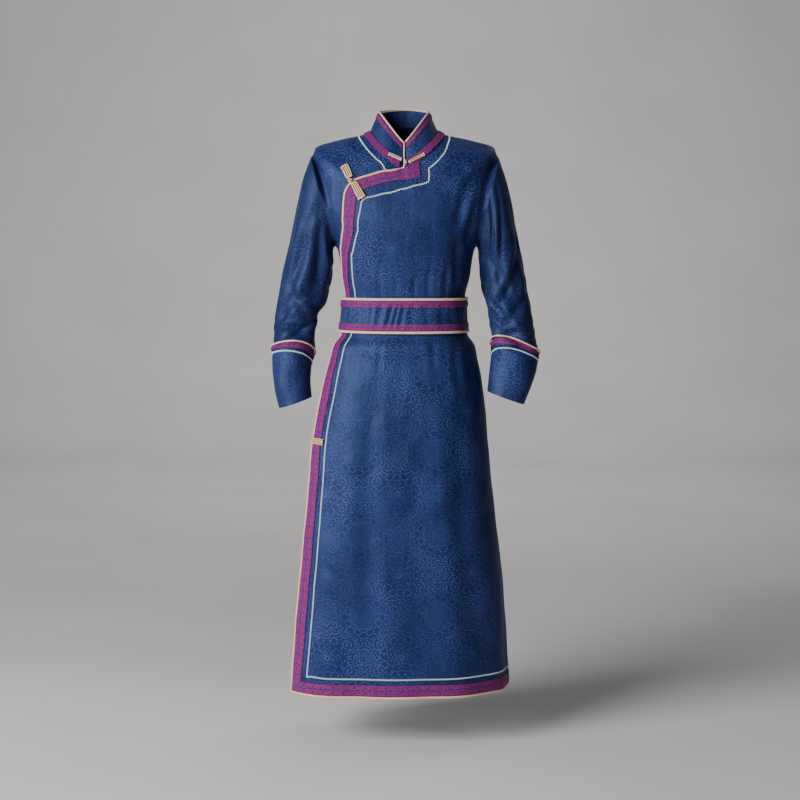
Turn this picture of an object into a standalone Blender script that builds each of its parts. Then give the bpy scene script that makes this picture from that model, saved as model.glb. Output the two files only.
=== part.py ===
"""Mongolian deel robe with its belt, as the pieces a maker cuts and sews.

Metres, +Z up. The front faces -Y, so the wearer's right side is -X. The origin is on the
neck's axis, level with the neck opening at the sides, where the robe hangs on the shoulders.

A place on the garment is a pair (turn, row). Turn is an angle in degrees about the body: 0 at
centre front, 90 at the wearer's left side, 180 at centre back, -90 at the wearer's right side.
Row is the height of that ring of the body at its sides.
"""

import math
from collections import namedtuple
from functools import lru_cache

import bmesh
import bpy
from mathutils import Vector

COLLECTION = "mongolian_deel_robe"

# Walls, gaps and laps
CLOTH = 0.0018          # satin with its backing
SEAM = 0.0003           # gap between sewn pieces
LAP_LIFT = 0.0045       # the overlap rides this far outside the layer below it
TRIM_LIFT = 0.0013      # trims ride this far outside the cloth
NECK_TRIM_LIFT = 0.0021
CUFF_TRIM_LIFT = 0.0018
TRIM_WALL = 0.0010

# Trims
EDGE_CORD = 0.0027      # radius of the piping on lapel, side opening and hem
FINE_CORD = 0.0021      # radius of the piping on collar and cuffs
BELT_CORD = 0.0031
BELT_WALL = 0.0022
BELT_OUT = 0.0045       # the belt's outer face off the lower layer
BELT_OUT_ON_LAP = 0.0065
BRAID = 0.026
LAPEL_BRAID = 0.025
BELT_BRAID = 0.0145
COLLAR_BRAID = 0.012
EDGE_INSET = 0.0012     # trims stop this far inside a panel's edge
CUFF_DROPS = (SEAM, 0.0097, 0.0190, 0.0300)         # rows of the cuff below its seam
CUFF_BRAID_DROPS = (0.0037, 0.0097, 0.0157)         # and of its trims

# Grid sizes of the panels
YOKE_ROWS = 8           # rows between armpit and shoulder, on each side of an armhole
ROW_STEP = 0.085        # rows below the armpit are no further apart
FRONT_COLUMNS = 21
LAPEL_COLUMNS = 8       # of the front's columns, those that end on the lapel's upper edge
NECK_CORNER_CLEAR = (8.0, 6.5, 3.0)   # degrees the rows below the neck corner are drawn aside
UNDER_COLUMNS = 10
BACK_COLUMNS = 20
RINGS_TO_CUFF = 8       # sleeve rings above the cuff line
BELT_COLUMNS = 36

ROUND = 2.45            # squareness of the body rings where the table gives none
SLEEVE_ROUND = 2.2

Section = namedtuple("Section", "side_z front_z back_z mid_x half_width front back square dip")
BODY = (
    # hem to neck; square is for the wearer's right front, dip shapes the rise from centre front
    Section(-1.300, -1.300, -1.300, -0.005, 0.258, 0.165, 0.175, 3.6, 2.0),   # hem
    Section(-1.060, -1.060, -1.060, -0.003, 0.241, 0.157, 0.166, 3.5, 2.0),   # knee
    Section(-0.850, -0.850, -0.850, -0.005, 0.217, 0.148, 0.155, 3.3, 2.0),   # thigh
    Section(-0.720, -0.720, -0.720, -0.006, 0.206, 0.142, 0.147, 3.1, 2.0),   # seat
    Section(-0.600, -0.600, -0.600, -0.001, 0.189, 0.132, 0.134, 2.9, 2.0),   # hip
    Section(-0.530, -0.530, -0.530, 0.001, 0.174, 0.123, 0.122, 2.8, 2.0),    # high hip
    Section(-0.457, -0.457, -0.457, 0.002, 0.1455, 0.108, 0.103, 2.6, 2.0),   # belt, lower edge
    Section(-0.377, -0.377, -0.377, 0.004, 0.1406, 0.106, 0.100, 2.5, 2.0),   # belt, upper edge
    Section(-0.330, -0.335, -0.330, 0.005, 0.150, 0.113, 0.105, 2.45, 2.0),   # ribs
    Section(-0.268, -0.275, -0.268, 0.004, 0.160, 0.121, 0.111, 2.45, 2.0),   # armpit
    Section(-0.160, -0.206, -0.160, 0.003, 0.201, 0.126, 0.115, 2.45, 2.0),   # chest
    Section(-0.100, -0.174, -0.104, 0.002, 0.208, 0.121, 0.112, 2.45, 2.0),   # upper chest
    Section(-0.034, -0.135, -0.044, 0.002, 0.206, 0.112, 0.102, 2.45, 2.0),   # shoulder point
    Section(-0.008, -0.107, -0.006, 0.001, 0.145, 0.103, 0.085, 2.3, 1.6),    # mid shoulder
    Section(0.004, -0.083, 0.013, 0.000, 0.0945, 0.092, 0.068, 2.2, 1.4),     # neckline braid
    Section(0.012, -0.060, 0.024, 0.000, 0.079, 0.082, 0.058, 2.2, 1.4),      # neck seam
)
HEM, ARMPIT, SHOULDER, BRAID_ROW, NECK = -1.300, -0.268, -0.034, 0.004, 0.012
BELT_TOP, BELT_BOTTOM = -0.3835, -0.4535

# Armholes: how far they open from the side, in degrees of turn
ARMHOLE_FRONT = 38.0
ARMHOLE_BACK = 40.0

# Soft lengthwise waves of the skirt: they start at a row and are deepest at the hem
Wave = namedtuple("Wave", "turn_top turn_hem starts width depth")
SKIRT_WAVES = (
    Wave(-20, -24, -0.80, 9, 0.0090),
    Wave(12, 14, -0.95, 10, 0.0050),
    Wave(47, 45, -0.75, 11, 0.0080),
    Wave(78, 74, -0.90, 9, 0.0060),
    Wave(118, 112, -0.60, 12, 0.0100),
    Wave(150, 148, -0.75, 11, 0.0120),
    Wave(186, 189, -0.62, 12, 0.0110),
    Wave(221, 226, -0.80, 11, 0.0120),
    Wave(252, 256, -0.70, 10, 0.0070),
)

# The side opening: the overlap's free edge below the armpit, and how far it stands off there
Opening = namedtuple("Opening", "row turn flare")
SIDE_OPENING = (
    Opening(-1.300, -58, 0.0100),
    Opening(-1.060, -58, 0.0100),
    Opening(-0.850, -60, 0.0085),
    Opening(-0.600, -63, 0.0060),
    Opening(-0.530, -65, 0.0030),
    Opening(-0.457, -68, 0.0),
    Opening(-0.377, -69, 0.0),
    Opening(-0.330, -67, 0.0),
    Opening(-0.268, -60, 0.0),
)
FLARE_REACH = 0.055

# Lapel edge as seen from the front, from the neck to its corner and from there to the armpit
LAPEL_TOP = ((0.0028, -0.0750), (-0.008, -0.0815), (-0.044, -0.0855), (-0.076, -0.0945),
             (-0.104, -0.1040), (-0.1195, -0.1120))
LAPEL_SIDE = ((-0.1290, -0.1235), (-0.1345, -0.140), (-0.1365, -0.160), (-0.1385, -0.186),
              (-0.1390, -0.221))

LAPEL_BRAID_END = ((0.036, -0.0775), (0.037, -0.1020))   # where the lapel's braid ends, square

# Sleeve rings in the plane of the arm: their outer and inner ends, and their reach front to back
Ring = namedtuple("Ring", "outer_x outer_z inner_x inner_z mid_y half_depth")
SLEEVES = {
    "right": (
        Ring(-0.2204, -0.050, -0.1640, -0.259, -0.003, 0.0790),
        Ring(-0.2382, -0.097, -0.1670, -0.268, -0.003, 0.0800),
        Ring(-0.2489, -0.145, -0.1675, -0.281, -0.002, 0.0800),
        Ring(-0.2619, -0.206, -0.1670, -0.296, 0.000, 0.0780),
        Ring(-0.2749, -0.268, -0.1690, -0.316, 0.002, 0.0750),
        Ring(-0.2903, -0.339, -0.1745, -0.346, 0.002, 0.0710),
        Ring(-0.3034, -0.410, -0.1813, -0.382, -0.004, 0.0670),
        Ring(-0.3081, -0.460, -0.2000, -0.420, -0.012, 0.0620),
        Ring(-0.3110, -0.500, -0.2090, -0.490, -0.020, 0.0560),
        Ring(-0.3105, -0.548, -0.2190, -0.543, -0.028, 0.0520),
        Ring(-0.3058, -0.590, -0.2200, -0.576, -0.036, 0.0490),
        Ring(-0.2940, -0.637, -0.2180, -0.611, -0.043, 0.0460),
    ),
    "left": (
        Ring(0.2240, -0.053, 0.1720, -0.259, -0.003, 0.0790),
        Ring(0.2400, -0.100, 0.1750, -0.268, -0.003, 0.0800),
        Ring(0.2520, -0.150, 0.1760, -0.281, -0.002, 0.0800),
        Ring(0.2643, -0.211, 0.1770, -0.296, 0.000, 0.0780),
        Ring(0.2761, -0.273, 0.1790, -0.316, 0.002, 0.0750),
        Ring(0.2891, -0.339, 0.1830, -0.346, 0.002, 0.0710),
        Ring(0.3010, -0.405, 0.1870, -0.382, -0.004, 0.0670),
        Ring(0.3100, -0.462, 0.1990, -0.422, -0.012, 0.0620),
        Ring(0.3165, -0.505, 0.2080, -0.490, -0.020, 0.0570),
        Ring(0.3130, -0.546, 0.2030, -0.540, -0.028, 0.0530),
        Ring(0.3020, -0.582, 0.1990, -0.566, -0.036, 0.0500),
        Ring(0.2820, -0.628, 0.1965, -0.597, -0.043, 0.0460),
    ),
}
CUFF_LINE = {"right": (0.412, 0.024, 62.0), "left": (0.408, 0.024, 105.0)}  # way down, swing, peak
SEAM_RUN = 0.006        # the sleeve leaves its armhole halfway in line with the body for this far

# Creases of the sleeves: angle round the arm (0 outer, 90 front), way down, slant and size
Crease = namedtuple("Crease", "around down drift length width depth")
SLEEVE_CREASES = {
    "right": (
        Crease(118, 0.17, 10, 0.090, 17, 0.008), Crease(62, 0.22, -18, 0.075, 16, 0.006),
        Crease(100, 0.37, 40, 0.045, 24, 0.009), Crease(200, 0.35, -30, 0.050, 26, 0.008),
        Crease(285, 0.25, 25, 0.080, 22, 0.007),
    ),
    "left": (
        Crease(112, 0.20, -26, 0.080, 17, 0.008), Crease(60, 0.26, 24, 0.070, 16, 0.006),
        Crease(95, 0.38, -40, 0.045, 24, 0.008), Crease(210, 0.34, 30, 0.050, 26, 0.008),
        Crease(290, 0.22, -25, 0.080, 22, 0.007),
    ),
}

# Collar: its top edge, open in a V at the front
COLLAR_TOP_WIDTH = 0.0600
COLLAR_TOP_FRONT = 0.0660
COLLAR_TOP_BACK = 0.0560
COLLAR_V = -0.022
COLLAR_SIDE_Z = 0.055
COLLAR_BACK_Z = 0.064
COLLAR_V_SHAPE = 1.15
COLLAR_FROM = 3.4       # degrees of turn from centre front to each end of the collar
NECK_BRAID_FROM = 7.0   # and to each end of the neckline braid
UNDER_HEM_SHORT = 6.0   # the under front's hem trim stops this far in turn before the side opening
CORNER_ROOM = 0.006     # a trim's places on the hem are this much further from the corner
HEM_TRIM_SHORT = 0.4    # and hem trims stop this far in turn before the side seam

# Frogs: the middle of each tab as seen from the front, its lengthwise angle, size and height
# above its layer, and the ball buttons that join them
Tab = namedtuple("Tab", "name layer x z angle length width cords lift")
TABS = (
    Tab("frog_chest_upper", "under", -0.1323, -0.0840, 116.0, 0.028, 0.0190, 4, 0.0006),
    Tab("frog_chest_lower", "over", -0.1060, -0.1300, 118.0, 0.044, 0.0150, 4, 0.0028),
    Tab("frog_neck_right", "neck", -0.0220, -0.0505, 153.5, 0.032, 0.0078, 2, 0.0036),
    Tab("frog_neck_left", "neck", 0.0312, -0.0552, 32.0, 0.038, 0.0078, 2, 0.0036),
    Tab("frog_hip", "over", -0.1990, -0.7110, 175.0, 0.030, 0.0160, 4, 0.0028),
)
TAB_ROWS = 6
TAB_WALL = 0.0012
Knot = namedtuple("Knot", "name layer x z radius stand_off")
KNOTS = (
    Knot("knot_chest", "under", -0.1215, -0.1080, 0.0050, 0.0125),
)

# Plain colours: base colour, roughness, metallic value
COLOURS = {
    "satin": ((0.022, 0.062, 0.175), 0.42, 0.0),
    "braid": ((0.42, 0.025, 0.15), 0.55, 0.0),
    "piping": ((0.82, 0.43, 0.27), 0.35, 0.0),
    "frog": ((0.80, 0.45, 0.24), 0.45, 0.0),
}


# ---------------------------------------------------------------- tables read as smooth curves

def smooth_value(keys, values, at, run_on=False):
    """Value of a smooth curve through (keys, values), held or run straight on past its ends."""
    for end, near in ((0, 1), (-1, -2)):
        if (at <= keys[0]) if end == 0 else (at >= keys[-1]):
            slope_out = (values[end] - values[near]) / (keys[end] - keys[near]) if run_on else 0.0
            return values[end] + slope_out * (at - keys[end])
    i = max(k for k in range(len(keys) - 1) if keys[k] <= at)
    span = keys[i + 1] - keys[i]
    t = (at - keys[i]) / span

    def slope(k):
        if k == 0 or k == len(keys) - 1:
            near = 1 if k == 0 else k
            return (values[near] - values[near - 1]) / (keys[near] - keys[near - 1])
        before = (values[k] - values[k - 1]) / (keys[k] - keys[k - 1])
        after = (values[k + 1] - values[k]) / (keys[k + 1] - keys[k])
        if before * after <= 0:
            return 0.0
        return 2 * before * after / (before + after)

    h01 = t * t * (3 - 2 * t)
    return ((1 - h01) * values[i] + h01 * values[i + 1]
            + span * t * (1 - t) * ((1 - t) * slope(i) - t * slope(i + 1)))


def smooth_row(table, key, at, run_on=False):
    """One row of a named table, read between its rows."""
    keys = [getattr(row, key) for row in table]
    return type(table[0])(*(smooth_value(keys, [row[c] for row in table], at, run_on)
                            for c in range(len(table[0]))))


def ease(t):
    t = min(1.0, max(0.0, t))
    return t * t * (3 - 2 * t)


def bump(offset, width):
    return math.exp(-(offset / width) ** 2)


# ---------------------------------------------------------------- the body's surface

@lru_cache(maxsize=None)
def section_at(row):
    return smooth_row(BODY, "side_z", row, run_on=True)


def wave_depth(turn, row):
    total = 0.0
    for wave in SKIRT_WAVES:
        if row >= wave.starts:
            continue
        down = (wave.starts - row) / (wave.starts - HEM)
        centre = wave.turn_top + (wave.turn_hem - wave.turn_top) * down
        apart = (turn - centre + 180) % 360 - 180
        total += wave.depth * ease(down) * bump(apart, wave.width)
    return total


def body_point(turn, row):
    """A point of the outer face of the lower layer: back and under front."""
    sec = section_at(row)
    s = math.sin(math.radians(turn))
    c = math.cos(math.radians(turn))
    squareness = sec.square if (s < 0 < c) else ROUND
    reach = (abs(s) ** squareness + abs(c) ** squareness) ** (-1 / squareness)
    depth = sec.front if c > 0 else sec.back
    end_z = sec.front_z if c > 0 else sec.back_z
    lower = wave_depth(turn, row)
    x = sec.mid_x + (sec.half_width * reach - lower) * s
    y = -(depth * reach - lower) * c
    z = end_z + (sec.side_z - end_z) * abs(s) ** sec.dip
    return Vector((x, y, z))


def slopes_at(turn, row, point=body_point):
    """How the surface moves per degree of turn and per metre of row."""
    d_turn, d_row = 0.05, 0.0005
    along = (point(turn + d_turn, row) - point(turn - d_turn, row)) / (2 * d_turn)
    up = (point(turn, row + d_row) - point(turn, row - d_row)) / (2 * d_row)
    return along, up


def outward(turn, row):
    along, up = slopes_at(turn, row)
    return along.cross(up).normalized()


def opening_at(row):
    return smooth_row(SIDE_OPENING, "row", min(row, ARMPIT))


def under_edge(row):
    """Turn of the under front's free edge, which the overlap hides."""
    return smooth_value([HEM, -0.50, ARMPIT, NECK], [34.0, 34.0, 24.0, -COLLAR_FROM], row)


def lap_out(turn, row):
    """How far the overlap's outer face stands outside the lower layer."""
    lift = LAP_LIFT * ease((under_edge(row) + 25 - turn) / 20)
    edge = opening_at(row)
    if edge.flare > 0:
        along, _ = slopes_at(turn, row)
        away = (turn - edge.turn) * along.length
        lift += edge.flare * max(0.0, 1 - away / FLARE_REACH) ** 2
    return lift


def on_under(turn, row, out=0.0):
    return body_point(turn, row) + outward(turn, row) * out


def on_over(turn, row, out=0.0):
    return body_point(turn, row) + outward(turn, row) * (lap_out(turn, row) + out)


def place_on_front(x, z, layer=on_over):
    """(turn, row) of the point of a front layer that is seen at (x, z) from the front."""
    turn = math.degrees(math.asin(max(-0.9, min(0.9, x / 0.19))))
    row = min(0.0, z + 0.03)
    for _ in range(14):
        here = layer(turn, row)
        a = (layer(turn + 0.2, row) - here) / 0.2
        b = (layer(turn, row - 0.001) - here) / -0.001
        det = a.x * b.z - b.x * a.z
        dx, dz = x - here.x, z - here.z
        turn += max(-12.0, min(12.0, (dx * b.z - b.x * dz) / det))
        row += max(-0.04, min(0.04, (a.x * dz - a.z * dx) / det))
        row = min(row, NECK + 0.004)
    return turn, row


def step_on_surface(turn, row, move):
    """Walk from a place on the surface by a vector that lies along it."""
    along, up = slopes_at(turn, row)
    aa, ab, bb = along.dot(along), along.dot(up), up.dot(up)
    am, bm = along.dot(move), up.dot(move)
    det = aa * bb - ab * ab
    return turn + (am * bb - bm * ab) / det, row + (bm * aa - am * ab) / det


def beside(path, distance, layer=body_point, mitre_limit=1.6):
    """The path moved sideways on the surface, to the right hand of its course seen from outside."""
    points = [layer(*place) for place in path]
    moved = []
    for k, place in enumerate(path):
        normal = outward(*place)
        before = points[k] - points[k - 1] if k else points[1] - points[0]
        after = points[k + 1] - points[k] if k + 1 < len(path) else before
        side = (before.normalized().cross(normal) + after.normalized().cross(normal)).normalized()
        reach = 1 / max(1 / mitre_limit, side.dot(after.normalized().cross(normal)))
        step = (distance(place) if callable(distance) else distance) * reach / 2
        half = step_on_surface(*place, side * step)
        moved.append(step_on_surface(*half, side * step))
    return moved


# ---------------------------------------------------------------- making objects

def new_material(name, look):
    colour, roughness, metallic = COLOURS[look]
    material = bpy.data.materials.new(name)
    material.use_nodes = True
    shader = material.node_tree.nodes["Principled BSDF"]
    shader.inputs["Base Color"].default_value = (*colour, 1)
    shader.inputs["Roughness"].default_value = roughness
    shader.inputs["Metallic"].default_value = metallic
    material.diffuse_color = (*colour, 1)
    return material


def finish_object(name, data, look):
    obj = bpy.data.objects.new(name, data)
    data.materials.append(new_material(name, look))
    bpy.data.collections[COLLECTION].objects.link(obj)
    return obj


def cloth(name, outer, inner, look, ring=False):
    """A wall of cloth lofted between rows of outer and rows of inner points.

    The rows run upwards and their points to the right, as seen from outside. Each field is
    split across its shorter diagonal, in the same way on both faces.
    """
    count, height = len(outer[0]), len(outer)
    around = count if ring else count - 1
    offset = count * height
    points = [point for row in outer + inner for point in row]
    faces = []
    for j in range(height - 1):
        for i in range(around):
            a, b = j * count + i, j * count + (i + 1) % count
            c, d = b + count, a + count
            if (points[a] - points[c]).length < (points[b] - points[d]).length:
                halves = ((a, b, c), (a, c, d))
            else:
                halves = ((a, b, d), (b, c, d))
            for half in halves:
                faces += [half, tuple(offset + corner for corner in half[::-1])]
    foot = [(i, (i + 1) % count) for i in range(around)]
    head = [(offset - count + b, offset - count + a) for a, b in foot]
    sides = [] if ring else [(j * count + count - 1, (j + 1) * count + count - 1)
                             for j in range(height - 1)]
    sides += [] if ring else [((j + 1) * count, j * count) for j in range(height - 1)]
    faces += [(b, a, offset + a, offset + b) for a, b in foot + head + sides]
    mesh = bpy.data.meshes.new(name)
    mesh.from_pydata(points, [], faces)
    mesh.shade_smooth()
    mesh.set_sharp_from_angle(angle=math.radians(50))
    return finish_object(name, mesh, look)


def cord(name, points, radius, look, closed=False):
    """A round cord along points."""
    curve = bpy.data.curves.new(name, "CURVE")
    curve.dimensions = "3D"
    curve.bevel_depth = radius
    curve.bevel_resolution = 1
    curve.use_fill_caps = True
    curve.twist_mode = "MINIMUM"
    spline = curve.splines.new("POLY")
    spline.points.add(len(points) - 1)
    for target, point in zip(spline.points, points):
        target.co = (*point, 1)
    spline.use_cyclic_u = closed
    return finish_object(name, curve, look)


def ribbon(name, edges, layer, look, out=TRIM_LIFT, wall=TRIM_WALL):
    """A flat trim over paths of places on a layer, each to the right of the one before.

    Turned about, the paths run to the right, each above the one before.
    """
    outer, inner = ([[layer(*place, reach) for place in edge[::-1]] for edge in edges]
                    for reach in (out + wall, out))
    return cloth(name, outer, inner, look)


def edge_cord(name, path, layer, radius, look="piping"):
    """Piping on a panel's cut edge, just outside it; the panel is to the right of the path."""
    outer = beside(path, -(radius + SEAM), layer)
    points = [layer(*place, -CLOTH / 2) for place in outer]
    return cord(name, points, radius, look)


# ---------------------------------------------------------------- panels

def armhole_place(side, half, v):
    """A place on an armhole's edge. v runs from 0 at the armpit to 1 at the shoulder."""
    up = 0.7 * v + 0.3 * (1 - math.cos(math.pi * v)) / 2
    row = ARMPIT + (SHOULDER - ARMPIT) * up
    wide = 2 * math.sqrt(max(0.0, up * (1 - up)))
    if half == "front":
        return side * (90 - ARMHOLE_FRONT * wide), row
    return side * (90 + ARMHOLE_BACK * wide), row


def spread(path, count):
    """The same path with count + 1 places, evenly spaced on the body."""
    points = [body_point(*place) for place in path]
    lengths = [0.0]
    for a, b in zip(points, points[1:]):
        lengths.append(lengths[-1] + (b - a).length)
    result = []
    for k in range(count + 1):
        at = lengths[-1] * k / count
        i = min(len(path) - 2, max(j for j in range(len(path)) if lengths[j] <= at + 1e-9))
        t = (at - lengths[i]) / (lengths[i + 1] - lengths[i])
        result.append(tuple(p + (q - p) * t for p, q in zip(path[i], path[i + 1])))
    return result


def shoulder_seam(side, count):
    """Places along a shoulder seam, from the shoulder point to the neck."""
    return spread([(side * 90.0, SHOULDER + (NECK - SHOULDER) * k / 6) for k in range(7)], count)


def to_level(place):
    """A place with its row counted in body sections, which are closer together at the neck."""
    turn, row = place
    k = max(i for i in range(len(BODY) - 1) if BODY[i].side_z <= row + 1e-9)
    return turn, k + (row - BODY[k].side_z) / (BODY[k + 1].side_z - BODY[k].side_z)


def from_level(place):
    turn, level = place
    k = min(len(BODY) - 2, int(level))
    return turn, BODY[k].side_z + (level - k) * (BODY[k + 1].side_z - BODY[k].side_z)


def fill_patch(bottom, top, left, right, fade=(1, 1)):
    """Rows of places that blend four edges; left and right run upwards.

    The higher its fade is, the sooner the shape of the left or right edge dies away inwards.
    """
    columns, rows = len(bottom) - 1, len(left) - 1
    bottom, top, left, right = ([to_level(place) for place in edge]
                                for edge in (bottom, top, left, right))
    patch = []
    for j in range(rows + 1):
        v = j / rows
        line = []
        for i in range(columns + 1):
            near_left = (1 - i / columns) ** fade[0]
            near_right = (i / columns) ** fade[1]
            line.append(from_level(
                (1 - v) * bottom[i][c] + v * top[i][c]
                + near_left * (left[j][c] - (1 - v) * bottom[0][c] - v * top[0][c])
                + near_right * (right[j][c] - (1 - v) * bottom[-1][c] - v * top[-1][c])
                for c in (0, 1)))
        patch.append(line)
    return patch


def rows_below_armpit():
    """Every body section below the armpit, with rows between those that are far apart."""
    rows = []
    heights = [section.side_z for section in BODY if section.side_z <= ARMPIT]
    for low, high in zip(heights, heights[1:]):
        parts = math.ceil((high - low) / ROW_STEP)
        rows += [low + (high - low) * k / parts for k in range(parts)]
    return rows


def skirt_rows(first_turn, last_turn, columns):
    """Rows of places from hem to armpit between two edges, each a function of the row."""
    rows = []
    for row in rows_below_armpit():
        first, last = first_turn(row), last_turn(row)
        rows.append([(first + (last - first) * i / columns, row) for i in range(columns + 1)])
    return rows


def armpit_row(first, last, columns):
    return [(first + (last - first) * i / columns, ARMPIT) for i in range(columns + 1)]


def overlap_places():
    lapel_side = [place_on_front(*seen) for seen in reversed(LAPEL_SIDE)]
    corner = place_on_front(*LAPEL_TOP[-1])
    lapel = [place_on_front(*seen) for seen in reversed(LAPEL_TOP)]
    neckline = [(turn, NECK) for turn in (8, 15, 24, 35, 48, 64, 78, 90)]
    left = spread([(opening_at(ARMPIT).turn, ARMPIT)] + lapel_side + [corner], YOKE_ROWS)
    right = [armhole_place(1, "front", k / YOKE_ROWS) for k in range(YOKE_ROWS + 1)]
    top = (spread(lapel, LAPEL_COLUMNS - 1) + spread([(COLLAR_FROM, NECK)] + neckline, 7)
           + shoulder_seam(1, 6)[::-1][1:])
    yoke = fill_patch(armpit_row(left[0][0], 90, FRONT_COLUMNS), top, left, right,
                      fade=(3, 1.25))
    for line, aside in zip(yoke[-2::-1], NECK_CORNER_CLEAR):
        turn, row = line[LAPEL_COLUMNS]
        line[LAPEL_COLUMNS] = (turn + aside, row)
    return skirt_rows(lambda row: opening_at(row).turn, lambda row: 90 - side_gap(row),
                      FRONT_COLUMNS) + yoke


def side_gap(row):
    """Degrees that keep a panel off the side seam."""
    return math.degrees(SEAM / 2 / section_at(row).front)


def under_places():
    left = [armhole_place(-1, "front", k / YOKE_ROWS) for k in range(YOKE_ROWS + 1)]
    right = spread([(under_edge(row), row) for row in (ARMPIT, -0.20, -0.13, -0.07, NECK)], YOKE_ROWS)
    neckline = [(turn, NECK) for turn in (-90, -72, -54, -38, -24, -12, right[-1][0])]
    top = shoulder_seam(-1, 4) + spread(neckline, UNDER_COLUMNS - 4)[1:]
    yoke = fill_patch(armpit_row(-90, right[0][0], UNDER_COLUMNS), top, left, right)
    return skirt_rows(lambda row: -90 + side_gap(row), under_edge, UNDER_COLUMNS) + yoke


def back_places():
    left = [armhole_place(1, "back", k / YOKE_ROWS) for k in range(YOKE_ROWS + 1)]
    right = [(360 + turn, row) for turn, row in
             (armhole_place(-1, "back", k / YOKE_ROWS) for k in range(YOKE_ROWS + 1))]
    neckline = [(turn, NECK) for turn in range(90, 271, 20)]
    far_seam = [(turn + 360, row) for turn, row in shoulder_seam(-1, 6)[::-1]]
    top = shoulder_seam(1, 6) + spread(neckline, BACK_COLUMNS - 12)[1:] + far_seam[1:]
    yoke = fill_patch(armpit_row(90, 270, BACK_COLUMNS), top, left, right)
    return skirt_rows(lambda row: 90 + side_gap(row), lambda row: 270 - side_gap(row),
                      BACK_COLUMNS) + yoke


def panel_point(layer, place, out, from_seam):
    """A point of a panel, drawn back from the shoulder seam and armpit by half the seam gap."""
    turn, row = place
    point = layer(turn, row, out)
    if row > ARMPIT - 1e-6 and abs(math.cos(math.radians(turn))) < 1e-6:
        point.y += from_seam
    return point


def build_panels(overlap, under, back):
    for name, places, layer, from_seam in (("front_overlap", overlap, on_over, -SEAM / 2),
                                           ("front_under", under, on_under, -SEAM / 2),
                                           ("back", back, on_under, SEAM / 2)):
        outer, inner = ([[panel_point(layer, place, out, from_seam) for place in line]
                         for line in places] for out in (0.0, -CLOTH))
        cloth(name, outer, inner, "satin")


# ---------------------------------------------------------------- sleeves and cuffs

def ring_rows(side):
    """Sleeve rings with their distance down the arm from the first."""
    rows, down = [], 0.06
    for k, ring in enumerate(SLEEVES[side]):
        centre = Vector(((ring.outer_x + ring.inner_x) / 2, ring.mid_y,
                         (ring.outer_z + ring.inner_z) / 2))
        if k:
            down += (centre - last).length
        last = centre
        rows.append((down, ring))
    return rows


RING_ROWS = {side: ring_rows(side) for side in SLEEVES}


def sleeve_point(side, down, around, out=0.0):
    """A point of a sleeve or cuff, around the arm in degrees: 0 outer, 90 front, 180 inner."""
    downs = [row[0] for row in RING_ROWS[side]]
    ring = Ring(*(smooth_value(downs, [row[1][c] for row in RING_ROWS[side]], down)
                  for c in range(len(Ring._fields))))
    co, si = math.cos(math.radians(around)), math.sin(math.radians(around))
    reach = (abs(co) ** SLEEVE_ROUND + abs(si) ** SLEEVE_ROUND) ** (-1 / SLEEVE_ROUND)
    inward = 0.0
    for crease in SLEEVE_CREASES[side]:
        along = (down - crease.down) / crease.length
        apart = (around - crease.around - crease.drift * along + 180) % 360 - 180
        inward += crease.depth * bump(apart, crease.width) * bump(along, 1.0)
    centre = Vector(((ring.outer_x + ring.inner_x) / 2, ring.mid_y,
                     (ring.outer_z + ring.inner_z) / 2))
    to_outer = Vector((ring.outer_x - centre.x, 0, ring.outer_z - centre.z))
    half = to_outer.length
    to_front = Vector((0, -ring.half_depth, 0))
    shrink = (out - inward) / half
    return centre + to_outer * reach * co * (1 + shrink) + to_front * reach * si * (1 + shrink)


def cuff_line(side, around, drop=0.0):
    down, swing, peak = CUFF_LINE[side]
    return down + drop - swing * math.cos(math.radians(around - peak))


def armhole_ring(side, run, out):
    """A ring of the sleeve next to its armhole, run being its distance from the seam."""
    sign = 1 if side == "left" else -1
    front_layer = on_over if side == "left" else on_under
    centre = armhole_centre(sign)
    ring = []
    for k in range(2 * YOKE_ROWS):
        half = "front" if k <= YOKE_ROWS else "back"
        v = 1 - k / YOKE_ROWS if k <= YOKE_ROWS else k / YOKE_ROWS - 1
        layer = front_layer if half == "front" else on_under
        turn, row = armhole_place(sign, half, v)
        edge = layer(turn, row)
        beyond = armhole_place(sign, half, min(1, v + 0.02))
        short = armhole_place(sign, half, max(0, v - 0.02))
        if k in (0, YOKE_ROWS):
            tangent = Vector((0, 1, 0))
        else:
            tangent = layer(*beyond) - layer(*short)
        into = outward(turn, row).cross(tangent).normalized()
        if into.dot(centre - edge) < 0:
            into.negate()
        normal = outward(turn, row)
        point = edge + into * SEAM
        if run > 0:
            first_down, around = RING_ROWS[side][0][0], 180 * k / YOKE_ROWS
            arm = sleeve_point(side, first_down, around)
            point += (into + (arm - point).normalized()).normalized() * run
            normal = (normal + (sleeve_point(side, first_down, around, 1.0) - arm)).normalized()
        ring.append(point + normal * out)
    return ring


def armhole_centre(sign):
    return body_point(sign * 90, (ARMPIT + SHOULDER) / 2)


def tube(name, side, rows, look, wall_from, wall_to):
    """A wall round the arm; its rows run downwards, each a function of the angle and of out."""
    angles = [360 * k / (2 * YOKE_ROWS) for k in range(2 * YOKE_ROWS)]
    if side == "left":
        angles = angles[::-1]
    outer, inner = ([[row(around, out) for around in angles] for row in rows[::-1]]
                    for out in (wall_to, wall_from))
    cloth(name, outer, inner, look, ring=True)


def arm_row(side, down):
    """A row of a sleeve at a distance down the arm, which may be a function of the angle."""
    def row(around, out):
        way = down(around) if callable(down) else down
        return sleeve_point(side, way, around, out)
    return row


def armhole_row(side, run):
    def row(around, out):
        return armhole_ring(side, run, out)[round(around * 2 * YOKE_ROWS / 360)]
    return row


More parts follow.
